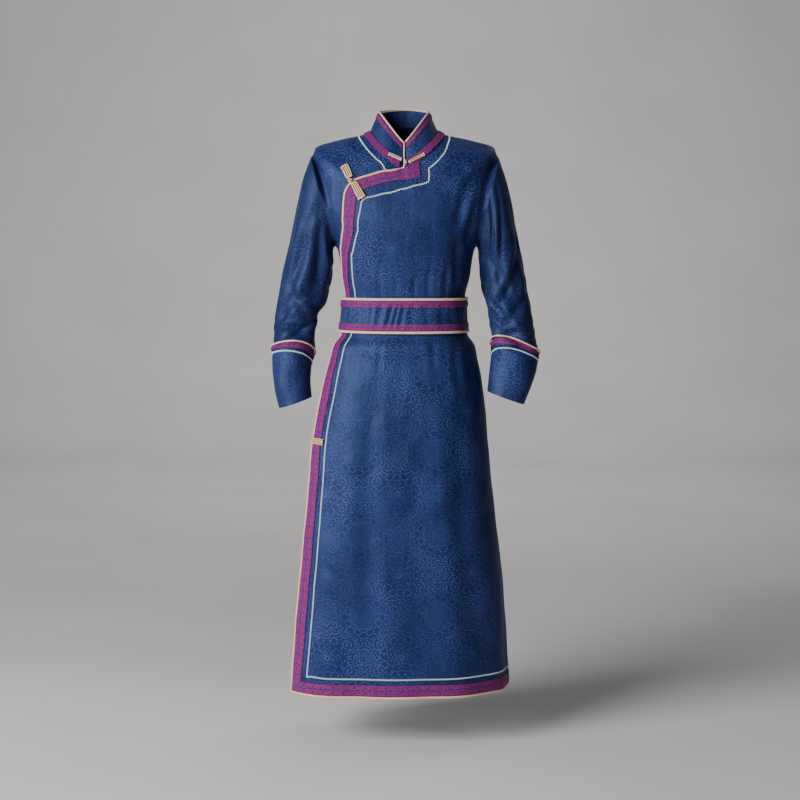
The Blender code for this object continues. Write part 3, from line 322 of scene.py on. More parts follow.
# Creases of the sleeves, finer than those of the solids
SLEEVE_FOLDS = {side: [Crease(*row) for row in rows] for side, rows in {
    "right": (
        # the long hollow from the armhole to the elbow, and the ridge's other side
        (112, 0.200, 10, 0.150, 17, 0.0068), (60, 0.235, -12, 0.110, 13, 0.0046),
        (146, 0.120, 22, 0.080, 11, 0.0042), (86, 0.090, -20, 0.060, 9, 0.0030),
        # drags at the elbow and folds heaped on the cuff
        (82, 0.300, 34, 0.045, 11, 0.0052), (128, 0.318, 52, 0.034, 15, 0.0058),
        (64, 0.350, 60, 0.022, 16, 0.0050), (112, 0.372, -58, 0.022, 18, 0.0054),
        (84, 0.402, 66, 0.016, 22, 0.0046), (46, 0.322, -34, 0.034, 13, 0.0040),
        (20, 0.150, 12, 0.110, 13, 0.0032), (168, 0.240, -20, 0.070, 12, 0.0044),
        (215, 0.130, 24, 0.090, 14, 0.0052), (262, 0.190, -22, 0.090, 14, 0.0056),
        (310, 0.320, 44, 0.040, 16, 0.0052), (250, 0.370, -54, 0.028, 18, 0.0050),
        (335, 0.220, 18, 0.100, 12, 0.0030), (222, 0.300, 40, 0.036, 15, 0.0046),
        (288, 0.400, 60, 0.016, 22, 0.0040),
    ),
    "left": (
        # drags from the shoulder point, the long slant to the elbow, folds heaped on the cuff
        (104, 0.120, 26, 0.090, 8, 0.0052), (76, 0.130, 22, 0.095, 8, 0.0040),
        (132, 0.150, 20, 0.090, 12, 0.0050), (84, 0.265, 62, 0.090, 12, 0.0062),
        (58, 0.300, 54, 0.060, 11, 0.0046), (124, 0.315, -36, 0.050, 13, 0.0050),
        (72, 0.362, 58, 0.026, 15, 0.0048), (112, 0.382, -58, 0.020, 18, 0.0050),
        (90, 0.404, 60, 0.014, 20, 0.0038), (36, 0.378, 44, 0.022, 15, 0.0034),
        (22, 0.200, -14, 0.110, 13, 0.0032), (160, 0.250, 22, 0.070, 12, 0.0046),
        (212, 0.140, -24, 0.090, 14, 0.0052), (258, 0.200, 24, 0.090, 14, 0.0056),
        (305, 0.310, -42, 0.040, 16, 0.0050), (245, 0.365, 54, 0.028, 18, 0.0050),
        (332, 0.230, -18, 0.100, 12, 0.0030), (218, 0.295, -40, 0.036, 15, 0.0044),
        (282, 0.402, -60, 0.015, 22, 0.0038),
    ),
}.items()}

# Ripples of the belt's blue band: turn, half width, depth, and the slant from foot to top
Ripple = namedtuple("Ripple", "turn width depth slant")
BELT_RIPPLES = [Ripple(*row) for row in (
    (-37, 2.2, 0.0016, -2), (-30, 1.5, 0.0010, 1), (-23, 2.6, 0.0018, 2),
    (-14, 2.0, 0.0016, 3), (-9, 1.5, 0.0014, 3), (-3, 1.9, 0.0012, 2),
    (6, 2.3, 0.0007, 1), (19, 2.8, 0.0008, -1), (33, 2.4, 0.0008, 1),
    (52, 3.0, 0.0012, -2), (-58, 2.6, 0.0013, 2), (-84, 3.0, 0.0014, -2),
    (81, 3.0, 0.0014, 2), (112, 2.6, 0.0013, -1), (131, 2.4, 0.0012, 2),
    (152, 2.8, 0.0014, -2), (170, 2.2, 0.0010, 1), (189, 2.6, 0.0014, 2),
    (208, 2.4, 0.0012, -2), (231, 3.0, 0.0014, 1), (252, 2.4, 0.0011, -1),
)]

# ------------------------------------------------------------ tables read as smooth curves

def smooth_value(keys, values, at, run_on=False):
    """Value of a smooth curve through (keys, values), held or run straight on past its ends."""
    for end, near in ((0, 1), (-1, -2)):
        if (at <= keys[0]) if end == 0 else (at >= keys[-1]):
            slope_out = (values[end] - values[near]) / (keys[end] - keys[near]) if run_on else 0.0
            return values[end] + slope_out * (at - keys[end])
    i = max(k for k in range(len(keys) - 1) if keys[k] <= at)
    span = keys[i + 1] - keys[i]
    t = (at - keys[i]) / span

    def slope(k):
        if k == 0 or k == len(keys) - 1:
            near = 1 if k == 0 else k
            return (values[near] - values[near - 1]) / (keys[near] - keys[near - 1])
        before = (values[k] - values[k - 1]) / (keys[k] - keys[k - 1])
        after = (values[k + 1] - values[k]) / (keys[k + 1] - keys[k])
        if before * after <= 0:
            return 0.0
        return 2 * before * after / (before + after)

    h01 = t * t * (3 - 2 * t)
    return ((1 - h01) * values[i] + h01 * values[i + 1]
            + span * t * (1 - t) * ((1 - t) * slope(i) - t * slope(i + 1)))


def read_table(table, key, steps, run_on=False):
    """Every column of a named table at many steps of its key column, as an array."""
    keys = [getattr(row, key) for row in table]
    return np.array([[smooth_value(keys, [row[c] for row in table], at, run_on) for at in steps]
                     for c in range(len(table[0]))])


def looked_up(columns, steps, at):
    return [np.interp(at, steps, column) for column in columns]


def ease(t):
    t = np.clip(t, 0.0, 1.0)
    return t * t * (3 - 2 * t)


def bump(offset, width):
    return np.exp(-(offset / width) ** 2)


def unit(vectors):
    return vectors / np.maximum(np.linalg.norm(vectors, axis=-1, keepdims=True), 1e-12)


def lengths_along(points):
    """Distance of each point of a path from its start."""
    return np.concatenate([[0.0], np.cumsum(np.linalg.norm(np.diff(points, axis=0), axis=1))])


def apart(turn, other):
    """Degrees from one turn to another, the short way round."""
    return (turn - other + 180) % 360 - 180


def course(t, start, leave, end, arrive):
    """A smooth course from start to end, which leaves and arrives along the vectors given."""
    return (start * (1 + 2 * t) * (1 - t) ** 2 + leave * t * (1 - t) ** 2
            + end * t * t * (3 - 2 * t) + arrive * t * t * (t - 1))


def refine(values, steps, corners=()):
    """The rows of values with more between them, on a smooth curve that may turn at corners."""
    values = np.asarray(values, float)
    before, after = np.empty_like(values), np.empty_like(values)
    before[1:-1] = after[1:-1] = (values[2:] - values[:-2]) / 2
    before[0] = after[0] = values[1] - values[0]
    before[-1] = after[-1] = values[-1] - values[-2]
    for k in corners:
        before[k] = values[k] - values[k - 1]
        after[k] = values[k + 1] - values[k]
    t = (np.arange(steps) / steps).reshape((1, steps) + (1,) * (values.ndim - 1))
    fine = course(t, values[:-1, None], after[:-1, None], values[1:, None], before[1:, None])
    return np.concatenate([fine.reshape((-1,) + values.shape[1:]), values[-1:]])


def refine_net(net, steps, corners=()):
    """A net refined up and across; it may turn sharply at the corners of its columns."""
    return refine(refine(net, steps).swapaxes(0, 1), steps, corners).swapaxes(0, 1)


# ------------------------------------------------------------ the body's surface

STEPS = np.arange(HEM - 0.02, NECK + 0.02, 0.0005)
SECTIONS = read_table(BODY, "side_z", STEPS, run_on=True)
OPENING_STEPS = np.arange(HEM - 0.02, ARMPIT, 0.001)
OPENINGS = read_table(SIDE_OPENING, "row", OPENING_STEPS)


UNDER_STEPS = STEPS[::10]
UNDER_TURNS = [smooth_value([HEM, -0.50, ARMPIT, NECK], [34.0, 34.0, 24.0, -COLLAR_FROM], at)
               for at in UNDER_STEPS]


def under_edge(row):
    """Turn of the under front's free edge, which the overlap hides."""
    return np.interp(row, UNDER_STEPS, UNDER_TURNS)


def wave_depth(turn, row):
    total = np.zeros(np.shape(turn))
    for wave in SKIRT_WAVES:
        down = np.clip((wave.starts - row) / (wave.starts - HEM), 0.0, 1.1)
        centre = wave.turn_top + (wave.turn_hem - wave.turn_top) * down
        total = total + wave.depth * ease(down) * bump(apart(turn, centre), wave.width)
    return total


def body_point(turn, row):
    """Points of the outer face of the lower layer: back and under front."""
    turn, row = np.broadcast_arrays(np.asarray(turn, float), np.asarray(row, float))
    side_z, front_z, back_z, mid_x, half_width, front, back, square, dip = looked_up(
        SECTIONS, STEPS, row)
    s, c = np.sin(np.radians(turn)), np.cos(np.radians(turn))
    squareness = np.where((s < 0) & (c > 0), square, ROUND)
    reach = (np.abs(s) ** squareness + np.abs(c) ** squareness) ** (-1 / squareness)
    depth = np.where(c > 0, front, back)
    end_z = np.where(c > 0, front_z, back_z)
    lower = wave_depth(turn, row)
    return np.stack([mid_x + (half_width * reach - lower) * s, -(depth * reach - lower) * c,
                     end_z + (side_z - end_z) * np.abs(s) ** dip], axis=-1)


def slopes_at(turn, row):
    """How the surface moves per degree of turn and per metre of row."""
    d_turn, d_row = 0.05, 0.001
    along = (body_point(turn + d_turn, row) - body_point(turn - d_turn, row)) / (2 * d_turn)
    up = (body_point(turn, row + d_row) - body_point(turn, row - d_row)) / (2 * d_row)
    return along, up


def outward(turn, row):
    along, up = slopes_at(turn, row)
    return unit(np.cross(along, up))


def opening_at(row):
    return Opening(*looked_up(OPENINGS, OPENING_STEPS, row))


def lap_out(turn, row):
    """How far the overlap's outer face stands outside the lower layer."""
    edge = opening_at(row)
    along, _ = slopes_at(turn, row)
    away = (turn - edge.turn) * np.linalg.norm(along, axis=-1)
    return (LAP_LIFT * ease((under_edge(row) + 25 - turn) / 20)
            + edge.flare * np.clip(1 - away / FLARE_REACH, 0.0, None) ** 2)


SHOULDER_ROUND = 0.0070
SKIRT_SWELL = 0.0085


def fold_out(turn, row, base):
    """How far the folds of the worn cloth move its face outwards."""
    facing = np.cos(np.radians(turn))
    total = np.zeros(np.shape(turn))
    for fold in FRONT_FOLDS + BACK_FOLDS:
        weight = ease(0.2 + (3 if fold in FRONT_FOLDS else -3) * facing)
        run = np.array([fold.x_end - fold.x, fold.z_end - fold.z])
        length = np.linalg.norm(run)
        across = base[..., 0] - fold.x, base[..., 2] - fold.z
        along = (across[0] * run[0] + across[1] * run[1]) / length ** 2
        off = (across[0] * run[1] - across[1] * run[0]) / length
        bow = 0.10 * length * (along - 0.5) ** 2
        off = (off + bow) / fold.width
        fade = ease((along + 0.12) / 0.45) * ease((1.12 - along) / 0.45)
        total += fold.depth * weight * fade * (0.45 * bump(np.abs(off) - 1.75, 0.9) - bump(off, 1.0))
    # a rounder shoulder point, where the sleeve's head is set in
    total += SHOULDER_ROUND * bump(row - SHOULDER + 0.002, 0.024) * bump(facing, 0.50)
    # the skirt swells a little where the belt lets go of it
    total += SKIRT_SWELL * bump(row - BELT_BOTTOM + 0.040, 0.021)
    turn = np.radians(turn)
    ease_in = np.minimum(1.0, np.abs(row - BELT_TOP) * 8)
    return total + ease_in * (0.0005 * np.sin(5 * turn + 21 * row) + 0.0004 * np.sin(11 * turn - 34 * row)
                              + 0.0003 * np.sin(3 * turn + 63 * row + 1.0))


def cloth_layer(lapped, draped):
    """A layer's points from turns, rows and distances outwards: with its lap, with its folds."""
    def points(turn, row, out=0.0):
        base = body_point(turn, row)
        lift = lap_out(turn, row) if lapped else 0.0
        if draped:
            lift = lift + fold_out(turn, row, base)
        return base + outward(turn, row) * np.asarray(lift + out)[..., None]
    return points


def round_neck(over, under):
    """What the neckline braid lies on: the overlap at the wearer's left front, else the lower layer."""
    def points(turn, row, out=0.0):
        front_left = ((turn % 360 > 0) & (turn % 360 < 90))[..., None]
        out = np.zeros(np.shape(turn)) + out
        return np.where(front_left, over(turn, row, out), under(turn, row, out))
    return points


plain_under, on_under = cloth_layer(False, False), cloth_layer(False, True)
plain_over, on_over = cloth_layer(True, False), cloth_layer(True, True)
plain_neck, on_neck = round_neck(plain_over, plain_under), round_neck(on_over, on_under)
LAYERS = {"under": (plain_under, on_under), "over": (plain_over, on_over), "neck": (plain_neck, on_neck)}


def place_on_front(seen, layer=plain_over):
    """Places (turn, row) of the points of a front layer that are seen at (x, z) from the front."""
    x, z = np.asarray(seen, float).T
    turn = np.degrees(np.arcsin(np.clip(x / 0.19, -0.9, 0.9)))
    row = np.minimum(0.0, z + 0.03)
    for _ in range(14):
        here = layer(turn, row)
        a = (layer(turn + 0.2, row) - here) / 0.2
        b = (layer(turn, row - 0.001) - here) / -0.001
        det = a[:, 0] * b[:, 2] - b[:, 0] * a[:, 2]
        dx, dz = x - here[:, 0], z - here[:, 2]
        turn = turn + np.clip((dx * b[:, 2] - b[:, 0] * dz) / det, -12.0, 12.0)
        row = np.minimum(row + np.clip((a[:, 0] * dz - a[:, 2] * dx) / det, -0.04, 0.04), NECK + 0.004)
    return np.stack([turn, row], axis=-1)


def step_on_surface(places, move):
    """Walk from places on the surface by vectors that lie along it."""
    along, up = slopes_at(places[:, 0], places[:, 1])
    aa, ab, bb = ((p * q).sum(-1) for p, q in ((along, along), (along, up), (up, up)))
    am, bm = (along * move).sum(-1), (up * move).sum(-1)
    det = aa * bb - ab * ab
    return places + np.stack([(am * bb - bm * ab) / det, (bm * aa - am * ab) / det], axis=-1)


def beside(path, distance, layer=plain_under, mitre_limit=1.6):
    """The path moved sideways on the surface, to the right hand of its course seen from outside."""
    path = np.asarray(path, float)
    points = layer(path[:, 0], path[:, 1])
    normal = outward(path[:, 0], path[:, 1])
    steps = np.diff(points, axis=0)
    before = unit(np.concatenate([steps[:1], steps]))
    after = unit(np.concatenate([steps, steps[-1:]]))
    ahead = np.cross(after, normal)
    side = unit(np.cross(before, normal) + ahead)
    reach = 1 / np.maximum(1 / mitre_limit, (side * ahead).sum(-1))
    move = side * (np.asarray(distance) * reach / 2)[:, None]
    return step_on_surface(step_on_surface(path, move), move)


# ------------------------------------------------------------ nets of the panels, as cut

def armhole_place(side, half, v):
    """Places on an armhole's edge. v runs from 0 at the armpit to 1 at the shoulder."""
    v = np.asarray(v, float)
    up = 0.7 * v + 0.3 * (1 - np.cos(math.pi * v)) / 2
    wide = 2 * np.sqrt(np.maximum(0.0, up * (1 - up)))
    reach = -ARMHOLE_FRONT if half == "front" else ARMHOLE_BACK
    return np.stack([side * (90 + reach * wide), ARMPIT + (SHOULDER - ARMPIT) * up], axis=-1)


def spread(path, count):
    """The same path with count + 1 places, evenly spaced on the body."""
    path = np.asarray(path, float)
    points = body_point(path[:, 0], path[:, 1])
    lengths = lengths_along(points)
    at = np.linspace(0.0, lengths[-1], count + 1)
    return np.stack([np.interp(at, lengths, path[:, c]) for c in (0, 1)], axis=-1)


def shoulder_seam(side, count):
    """Places along a shoulder seam, from the shoulder point to the neck."""
    return spread([(side * 90.0, SHOULDER + (NECK - SHOULDER) * k / 6) for k in range(7)], count)


LEVELS = np.array([section.side_z for section in BODY])


def to_level(places):
    """Places with their rows counted in body sections, which are closer together at the neck."""
    places = np.asarray(places, float)
    return np.stack([places[..., 0], np.interp(places[..., 1], LEVELS, np.arange(len(LEVELS)))], axis=-1)


def fill_patch(bottom, top, left, right, fade=(1, 1)):
    """Rows of places that blend four edges; left and right run upwards."""
    bottom, top, left, right = (to_level(edge) for edge in (bottom, top, left, right))
    v = np.linspace(0, 1, len(left))[:, None, None]
    u = np.linspace(0, 1, len(bottom))[None, :, None]
    plain = (1 - v) * bottom[None] + v * top[None]
    patch = (plain + (1 - u) ** fade[0] * (left[:, None] - (1 - v) * bottom[0] - v * top[0])
             + u ** fade[1] * (right[:, None] - (1 - v) * bottom[-1] - v * top[-1]))
    return np.stack([patch[..., 0], np.interp(patch[..., 1], np.arange(len(LEVELS)), LEVELS)], axis=-1)


def rows_below_armpit():
    """Every body section below the armpit, with rows between those that are far apart."""
    heights = [section.side_z for section in BODY if section.side_z <= ARMPIT]
    rows = []
    for low, high in zip(heights, heights[1:]):
        parts = math.ceil((high - low) / ROW_STEP)
        rows += [low + (high - low) * k / parts for k in range(parts)]
    return np.array(rows)


def skirt_rows(first, last, columns):
    """Rows of places from hem to armpit between two edges."""
    rows = rows_below_armpit()
    share = np.linspace(0, 1, columns + 1)
    first, last = (np.broadcast_to(edge(rows), rows.shape)[:, None] for edge in (first, last))
    heights = np.broadcast_to(rows[:, None], (len(rows), columns + 1))
    return np.stack([first + (last - first) * share, heights], axis=-1)


def armpit_row(first, last, columns):
    return np.linspace((first, ARMPIT), (last, ARMPIT), columns + 1)


def side_gap(row):
    """Degrees that keep a panel off the side seam, which is sewn close."""
    return np.degrees(SEAM / 12 / np.interp(row, STEPS, SECTIONS[5]))


HALF_RUN = np.linspace(0, 1, YOKE_ROWS + 1)


def overlap_places():
    lapel_side = place_on_front(LAPEL_SIDE[::-1])
    lapel = place_on_front(LAPEL_TOP[::-1])
    neckline = [(turn, NECK) for turn in (8, 15, 24, 35, 48, 64, 78, 90)]
    foot = [(float(opening_at(ARMPIT).turn), ARMPIT)]
    left = spread(np.concatenate([foot, lapel_side, lapel[:1]]), YOKE_ROWS)
    right = armhole_place(1, "front", HALF_RUN)
    top = np.concatenate([spread(lapel, LAPEL_COLUMNS - 1), spread([(COLLAR_FROM, NECK)] + neckline, 7),
                          shoulder_seam(1, 6)[::-1][1:]])
    yoke = fill_patch(armpit_row(left[0][0], 90, FRONT_COLUMNS), top, left, right, fade=(3, 1.25))
    for line, aside in zip(yoke[-2::-1], NECK_CORNER_CLEAR):
        line[LAPEL_COLUMNS, 0] += aside
    return np.concatenate([skirt_rows(lambda row: opening_at(row).turn,
                                      lambda row: 90 - side_gap(row), FRONT_COLUMNS), yoke])


def under_places():
    left = armhole_place(-1, "front", HALF_RUN)
    right = spread([(float(under_edge(row)), row) for row in (ARMPIT, -0.20, -0.13, -0.07, NECK)], YOKE_ROWS)
    neckline = [(turn, NECK) for turn in (-90, -72, -54, -38, -24, -12, right[-1][0])]
    top = np.concatenate([shoulder_seam(-1, 4), spread(neckline, UNDER_COLUMNS - 4)[1:]])
    yoke = fill_patch(armpit_row(-90, right[0][0], UNDER_COLUMNS), top, left, right)
    return np.concatenate([skirt_rows(lambda row: -90 + side_gap(row), under_edge, UNDER_COLUMNS), yoke])


def back_places():
    left = armhole_place(1, "back", HALF_RUN)
    right = armhole_place(-1, "back", HALF_RUN) + (360, 0)
    neckline = [(turn, NECK) for turn in range(90, 271, 20)]
    far_seam = shoulder_seam(-1, 6)[::-1] + (360, 0)
    top = np.concatenate([shoulder_seam(1, 6), spread(neckline, BACK_COLUMNS - 12)[1:], far_seam[1:]])
    yoke = fill_patch(armpit_row(90, 270, BACK_COLUMNS), top, left, right)
    return np.concatenate([skirt_rows(lambda row: 90 + side_gap(row), lambda row: 270 - side_gap(row),
                                      BACK_COLUMNS), yoke])


# ------------------------------------------------------------ sleeves and cuffs

def ring_downs(side):
    """Distance of each sleeve ring down the arm."""
    centres = np.array([((ring.outer_x + ring.inner_x) / 2, ring.mid_y, (ring.outer_z + ring.inner_z) / 2)
                        for ring in SLEEVES[side]])
    return FIRST_RING + lengths_along(centres)


DOWNS = {side: ring_downs(side) for side in SLEEVES}
DOWN_STEPS = np.arange(0.0, 0.72, 0.002)
RINGS = {side: np.array([[smooth_value(list(DOWNS[side]), [ring[c] for ring in SLEEVES[side]], at)
                          for at in DOWN_STEPS] for c in range(6)]) for side in SLEEVES}


def pressed_in(creases, down, around):
    total = np.zeros(np.broadcast(down, around).shape)
    for crease in creases:
        along = (down - crease.down) / crease.length
        aside = apart(around - crease.around, crease.drift * along)
        total = total + crease.depth * bump(along, 1.0) * bump(aside, crease.width)
    return total


def sleeve_point(side, down, around, out=0.0):
    """Points of a sleeve or cuff, around the arm in degrees: 0 outer, 90 front, 180 inner."""
    down, around = np.broadcast_arrays(np.asarray(down, float), np.asarray(around, float))
    outer_x, outer_z, inner_x, inner_z, mid_y, half_depth = looked_up(RINGS[side], DOWN_STEPS, down)
    co, si = np.cos(np.radians(around)), np.sin(np.radians(around))
    reach = (np.abs(co) ** SLEEVE_ROUND + np.abs(si) ** SLEEVE_ROUND) ** (-1 / SLEEVE_ROUND)
    inward = pressed_in(SLEEVE_CREASES[side], down, around)
    fine = pressed_in(SLEEVE_FOLDS[side], down, around)
    beyond = pressed_in([crease._replace(around=crease.around + 1.9 * crease.width)
                         for crease in SLEEVE_FOLDS[side]], down, around)
    swell = 0.0006 * np.sin(np.radians(4 * around) + 60 * down) * ease(down / 0.1)
    centre = np.stack([(outer_x + inner_x) / 2, mid_y, (outer_z + inner_z) / 2], axis=-1)
    to_outer = np.stack([outer_x - centre[..., 0], 0 * down, outer_z - centre[..., 2]], axis=-1)
    half = np.linalg.norm(to_outer, axis=-1)
    to_front = np.stack([0 * down, -half_depth, 0 * down], axis=-1)
    grow = (reach * (1 + (out - inward - fine + 0.4 * beyond + swell) / half))[..., None]
    return centre + to_outer * grow * co[..., None] + to_front * grow * si[..., None]


def cuff_line(side, around, drop=0.0):
    down, swing, peak = CUFF_LINE[side]
    return down + drop - swing * np.cos(np.radians(around - peak))


def armhole_net(side, steps):
    """Rings of the sleeve's head: its armhole seam, and the row where it has turned into the arm."""
    sign = 1 if side == "left" else -1
    front_layer = on_over if side == "left" else on_under
    front = refine(armhole_place(sign, "front", HALF_RUN), steps)[::-1]
    back = refine(armhole_place(sign, "back", HALF_RUN), steps)
    edges, normals, tangents = [], [], []
    for places, layer in ((front, front_layer), (back, on_under)):
        edge = layer(places[:, 0], places[:, 1])
        tangent = np.gradient(edge, axis=0)
        tangent[0] = tangent[-1] = (0.0, 1.0, 0.0)
        edges.append(edge[:-1])
        normals.append(outward(places[:-1, 0], places[:-1, 1]))
        tangents.append(tangent[:-1])
    edge, normal, tangent = (np.concatenate(parts) for parts in (edges, normals, tangents))
    centre = body_point(sign * 90, (ARMPIT + SHOULDER) / 2)
    into = unit(np.cross(normal, tangent))
    into *= np.sign(((centre - edge) * into).sum(-1))[:, None]
    around = np.arange(len(edge)) * 360 / len(edge)
    arm = sleeve_point(side, DOWNS[side][0], around)
    seam = edge + into * SEAM
    return around, seam, seam + unit(into + unit(arm - seam)) * SEAM_RUN


# ------------------------------------------------------------ collar, edges and belt

def collar_point(turn, h, out=0.0):
    """Points of the collar: h is 0 at the neck seam and 1 at its top edge."""
    turn, h = np.broadcast_arrays(np.asarray(turn, float), np.asarray(h, float))
    base = body_point(turn, NECK) + (0, 0, SEAM)
    s, c = np.sin(np.radians(turn)), np.cos(np.radians(turn))
    front = c > 0
    rise = np.abs(s) ** np.where(front, COLLAR_V_SHAPE, 2)
    end = np.where(front, COLLAR_V, COLLAR_BACK_Z)
    depth = np.where(front, COLLAR_TOP_FRONT, COLLAR_TOP_BACK)
    top = np.stack([COLLAR_TOP_WIDTH * s, -depth * c, end + (COLLAR_SIDE_Z - end) * rise], axis=-1)
    flat = unit(np.stack([s / COLLAR_TOP_WIDTH, -c / depth, 0 * s], axis=-1))
    swell = 0.0006 * np.sin(np.radians(7 * turn)) * np.sin(math.pi * h)
    return base + (top - base) * h[..., None] + flat * (swell + out)[..., None]


def front_edge(overlap):
    """The overlap's free edge: along the hem to its corner, up the side and along the lapel."""
    return np.concatenate([overlap[0][:0:-1], overlap[:-1, 0], overlap[-1][:LAPEL_COLUMNS + 1]])


def braid_width(places):
    """Full width of the trim on the overlap's edge: narrower on the lapel."""
    return LAPEL_BRAID + (BRAID - LAPEL_BRAID) * ease((ARMPIT - places[:, 1]) / 0.2)


def clear_of_corner(path, room):
    """The path with its places along the hem spread anew, to leave a trim room at the corner."""
    corner = float(opening_at(HEM).turn)
    along, _ = slopes_at(corner, HEM)
    last = corner + room / np.linalg.norm(along)
    hem = np.linspace((path[0][0], HEM), (last, HEM), FRONT_COLUMNS + 1)
    return np.concatenate([hem, path[FRONT_COLUMNS:]])


def hem_end(path, edge, up):
    """The edge begun straight above the path's first place, where it meets the side seam."""
    return np.concatenate([[(path[0][0], HEM + up)], edge[1:]])


def belt_point(turn, row, out=0.0):
    """Points of the belt's outer face: it stands further out where it spans the lap."""
    turn = apart(np.asarray(turn, float), 0)
    over_lap = ease((turn + 112) / 30) * ease((75 - turn) / 30)
    height = (row - (BELT_TOP + BELT_BOTTOM) / 2) / (BELT_TOP - BELT_BOTTOM) * 2
    inside = ease((1 - np.abs(height)) / 0.45)
    rippled = 0.0
    for ripple in BELT_RIPPLES:
        aside = apart(turn - ripple.turn, ripple.slant * height)
        rippled = rippled + ripple.depth * (0.5 * bump(np.abs(aside) - 1.9 * ripple.width, ripple.width)
                                            - bump(aside, ripple.width))
    stand_off = BELT_OUT + BELT_OUT_ON_LAP * over_lap + rippled * inside
    return body_point(turn, row) + outward(turn, row) * (stand_off + out)[..., None]


# ------------------------------------------------------------ meshes

def normals_of(grid, ring=False):
    """Outward normals of a net of points: its rows run upwards and to the right."""
    wide = np.concatenate([grid[:, -1:], grid, grid[:, :1]], axis=1) if ring else grid
    along = np.gradient(wide, axis=1)
    along = along[:, 1:-1] if ring else along
    return unit(np.cross(along, np.gradient(grid, axis=0)))


def placed(name, data):
    """An object of the scene that shows the mesh, light or camera given."""
    piece = bpy.data.objects.new(name, data)
    bpy.context.scene.collection.objects.link(piece)
    return piece


def map_of(mesh, cut):
    """The mesh's own map, named cut: a place in metres for each of its points."""
    corners = np.empty(len(mesh.loops), int)
    mesh.loops.foreach_get("vertex_index", corners)
    layer = mesh.uv_layers.get("cut") or mesh.uv_layers.new(name="cut")
    layer.data.foreach_set("uv", np.asarray(cut, np.float32)[corners].ravel())


def make_mesh(name, points, faces, cut=None):
    """An object whose own UV map, named cut, holds places in metres on the flat cloth."""
    mesh = bpy.data.meshes.new(name)
    mesh.from_pydata(points, [], faces)
    if cut is not None:
        map_of(mesh, cut)
    mesh.shade_smooth()
    mesh.set_sharp_from_angle(angle=SHARP_ANGLE)
    return placed(name, mesh)


def closed_round(net):
    return np.concatenate([net, net[:, :1]], axis=1)


def wall_of_cloth(name, outer, wall, cut, ring=False):
    """A thin shell: its outer face is the net given, its inner face lies a wall's thickness inside."""
    height, count = outer.shape[:2]
    inner = outer - normals_of(outer, ring) * wall
    if ring:
        outer, inner = closed_round(outer), closed_round(inner)
        count += 1
    offset = count * height
    index = np.arange(offset).reshape(height, count)
    quads = np.stack([index[:-1, :-1], index[:-1, 1:], index[1:, 1:], index[1:, :-1]], -1).reshape(-1, 4)

    def rim(first, second):
        return np.stack([first, second, second + offset, first + offset], -1)

    rims = [rim(index[0, 1:], index[0, :-1]), rim(index[-1, :-1], index[-1, 1:])]
    if not ring:
        rims += [rim(index[:-1, 0], index[1:, 0]), rim(index[1:, -1], index[:-1, -1])]
    faces = np.concatenate([quads, quads[:, ::-1] + offset] + rims)
    points = np.concatenate([outer.reshape(-1, 3), inner.reshape(-1, 3)])
    both = np.concatenate([cut.reshape(-1, 2)] * 2)
    piece = make_mesh(name, points, faces, both)
    if ring:
        weld(piece)
    return piece


def edit_mesh(mesh, change):
    shape = bmesh.new()
    shape.from_mesh(mesh)
    change(shape)
    shape.to_mesh(mesh)
    shape.free()


def weld(piece):
    """Joins the two edges of a tube that was opened to give it its own seam in the cut."""
    edit_mesh(piece.data, lambda shape: bmesh.ops.remove_doubles(shape, verts=shape.verts, dist=WELD_WITHIN))
    piece.data.set_sharp_from_angle(angle=SHARP_ANGLE)


def tube_on(name, centres, up, radius, sides=12, closed=False):
    """A round cord along centres; up points away from what it is sewn to."""
    centres = np.asarray(centres, float)
    up = np.broadcast_to(up, centres.shape)
    if closed:
        centres, up = (np.concatenate([values, values[:1]]) for values in (centres, up))
    ahead = np.gradient(centres, axis=0)
    if closed:
        ahead[0] = ahead[-1] = centres[1] - centres[-2]
    side = unit(np.cross(unit(ahead), up))
    over = np.cross(side, unit(ahead))
    length = lengths_along(centres)
    angles = np.linspace(0, 2 * math.pi, sides + 1) - math.pi / 2
    rings = centres[:, None] + radius * (np.cos(angles)[None, :, None] * side[:, None]
                                         + np.sin(angles)[None, :, None] * over[:, None])
    index = np.arange(len(centres) * (sides + 1)).reshape(-1, sides + 1)
    faces = np.stack([index[:-1, :-1], index[1:, :-1], index[1:, 1:], index[:-1, 1:]], -1)
    faces = faces.reshape(-1, 4).tolist()
    if not closed:
        faces += [index[0, :-1].tolist(), index[-1, -2::-1].tolist()]
    cut = np.stack(np.broadcast_arrays(length[:, None], angles[None] * radius), -1)
    piece = make_mesh(name, rings.reshape(-1, 3), faces, cut.reshape(-1, 2))
    weld(piece)
    edit_mesh(piece.data, lambda shape: bmesh.ops.recalc_face_normals(shape, faces=shape.faces))
    return piece


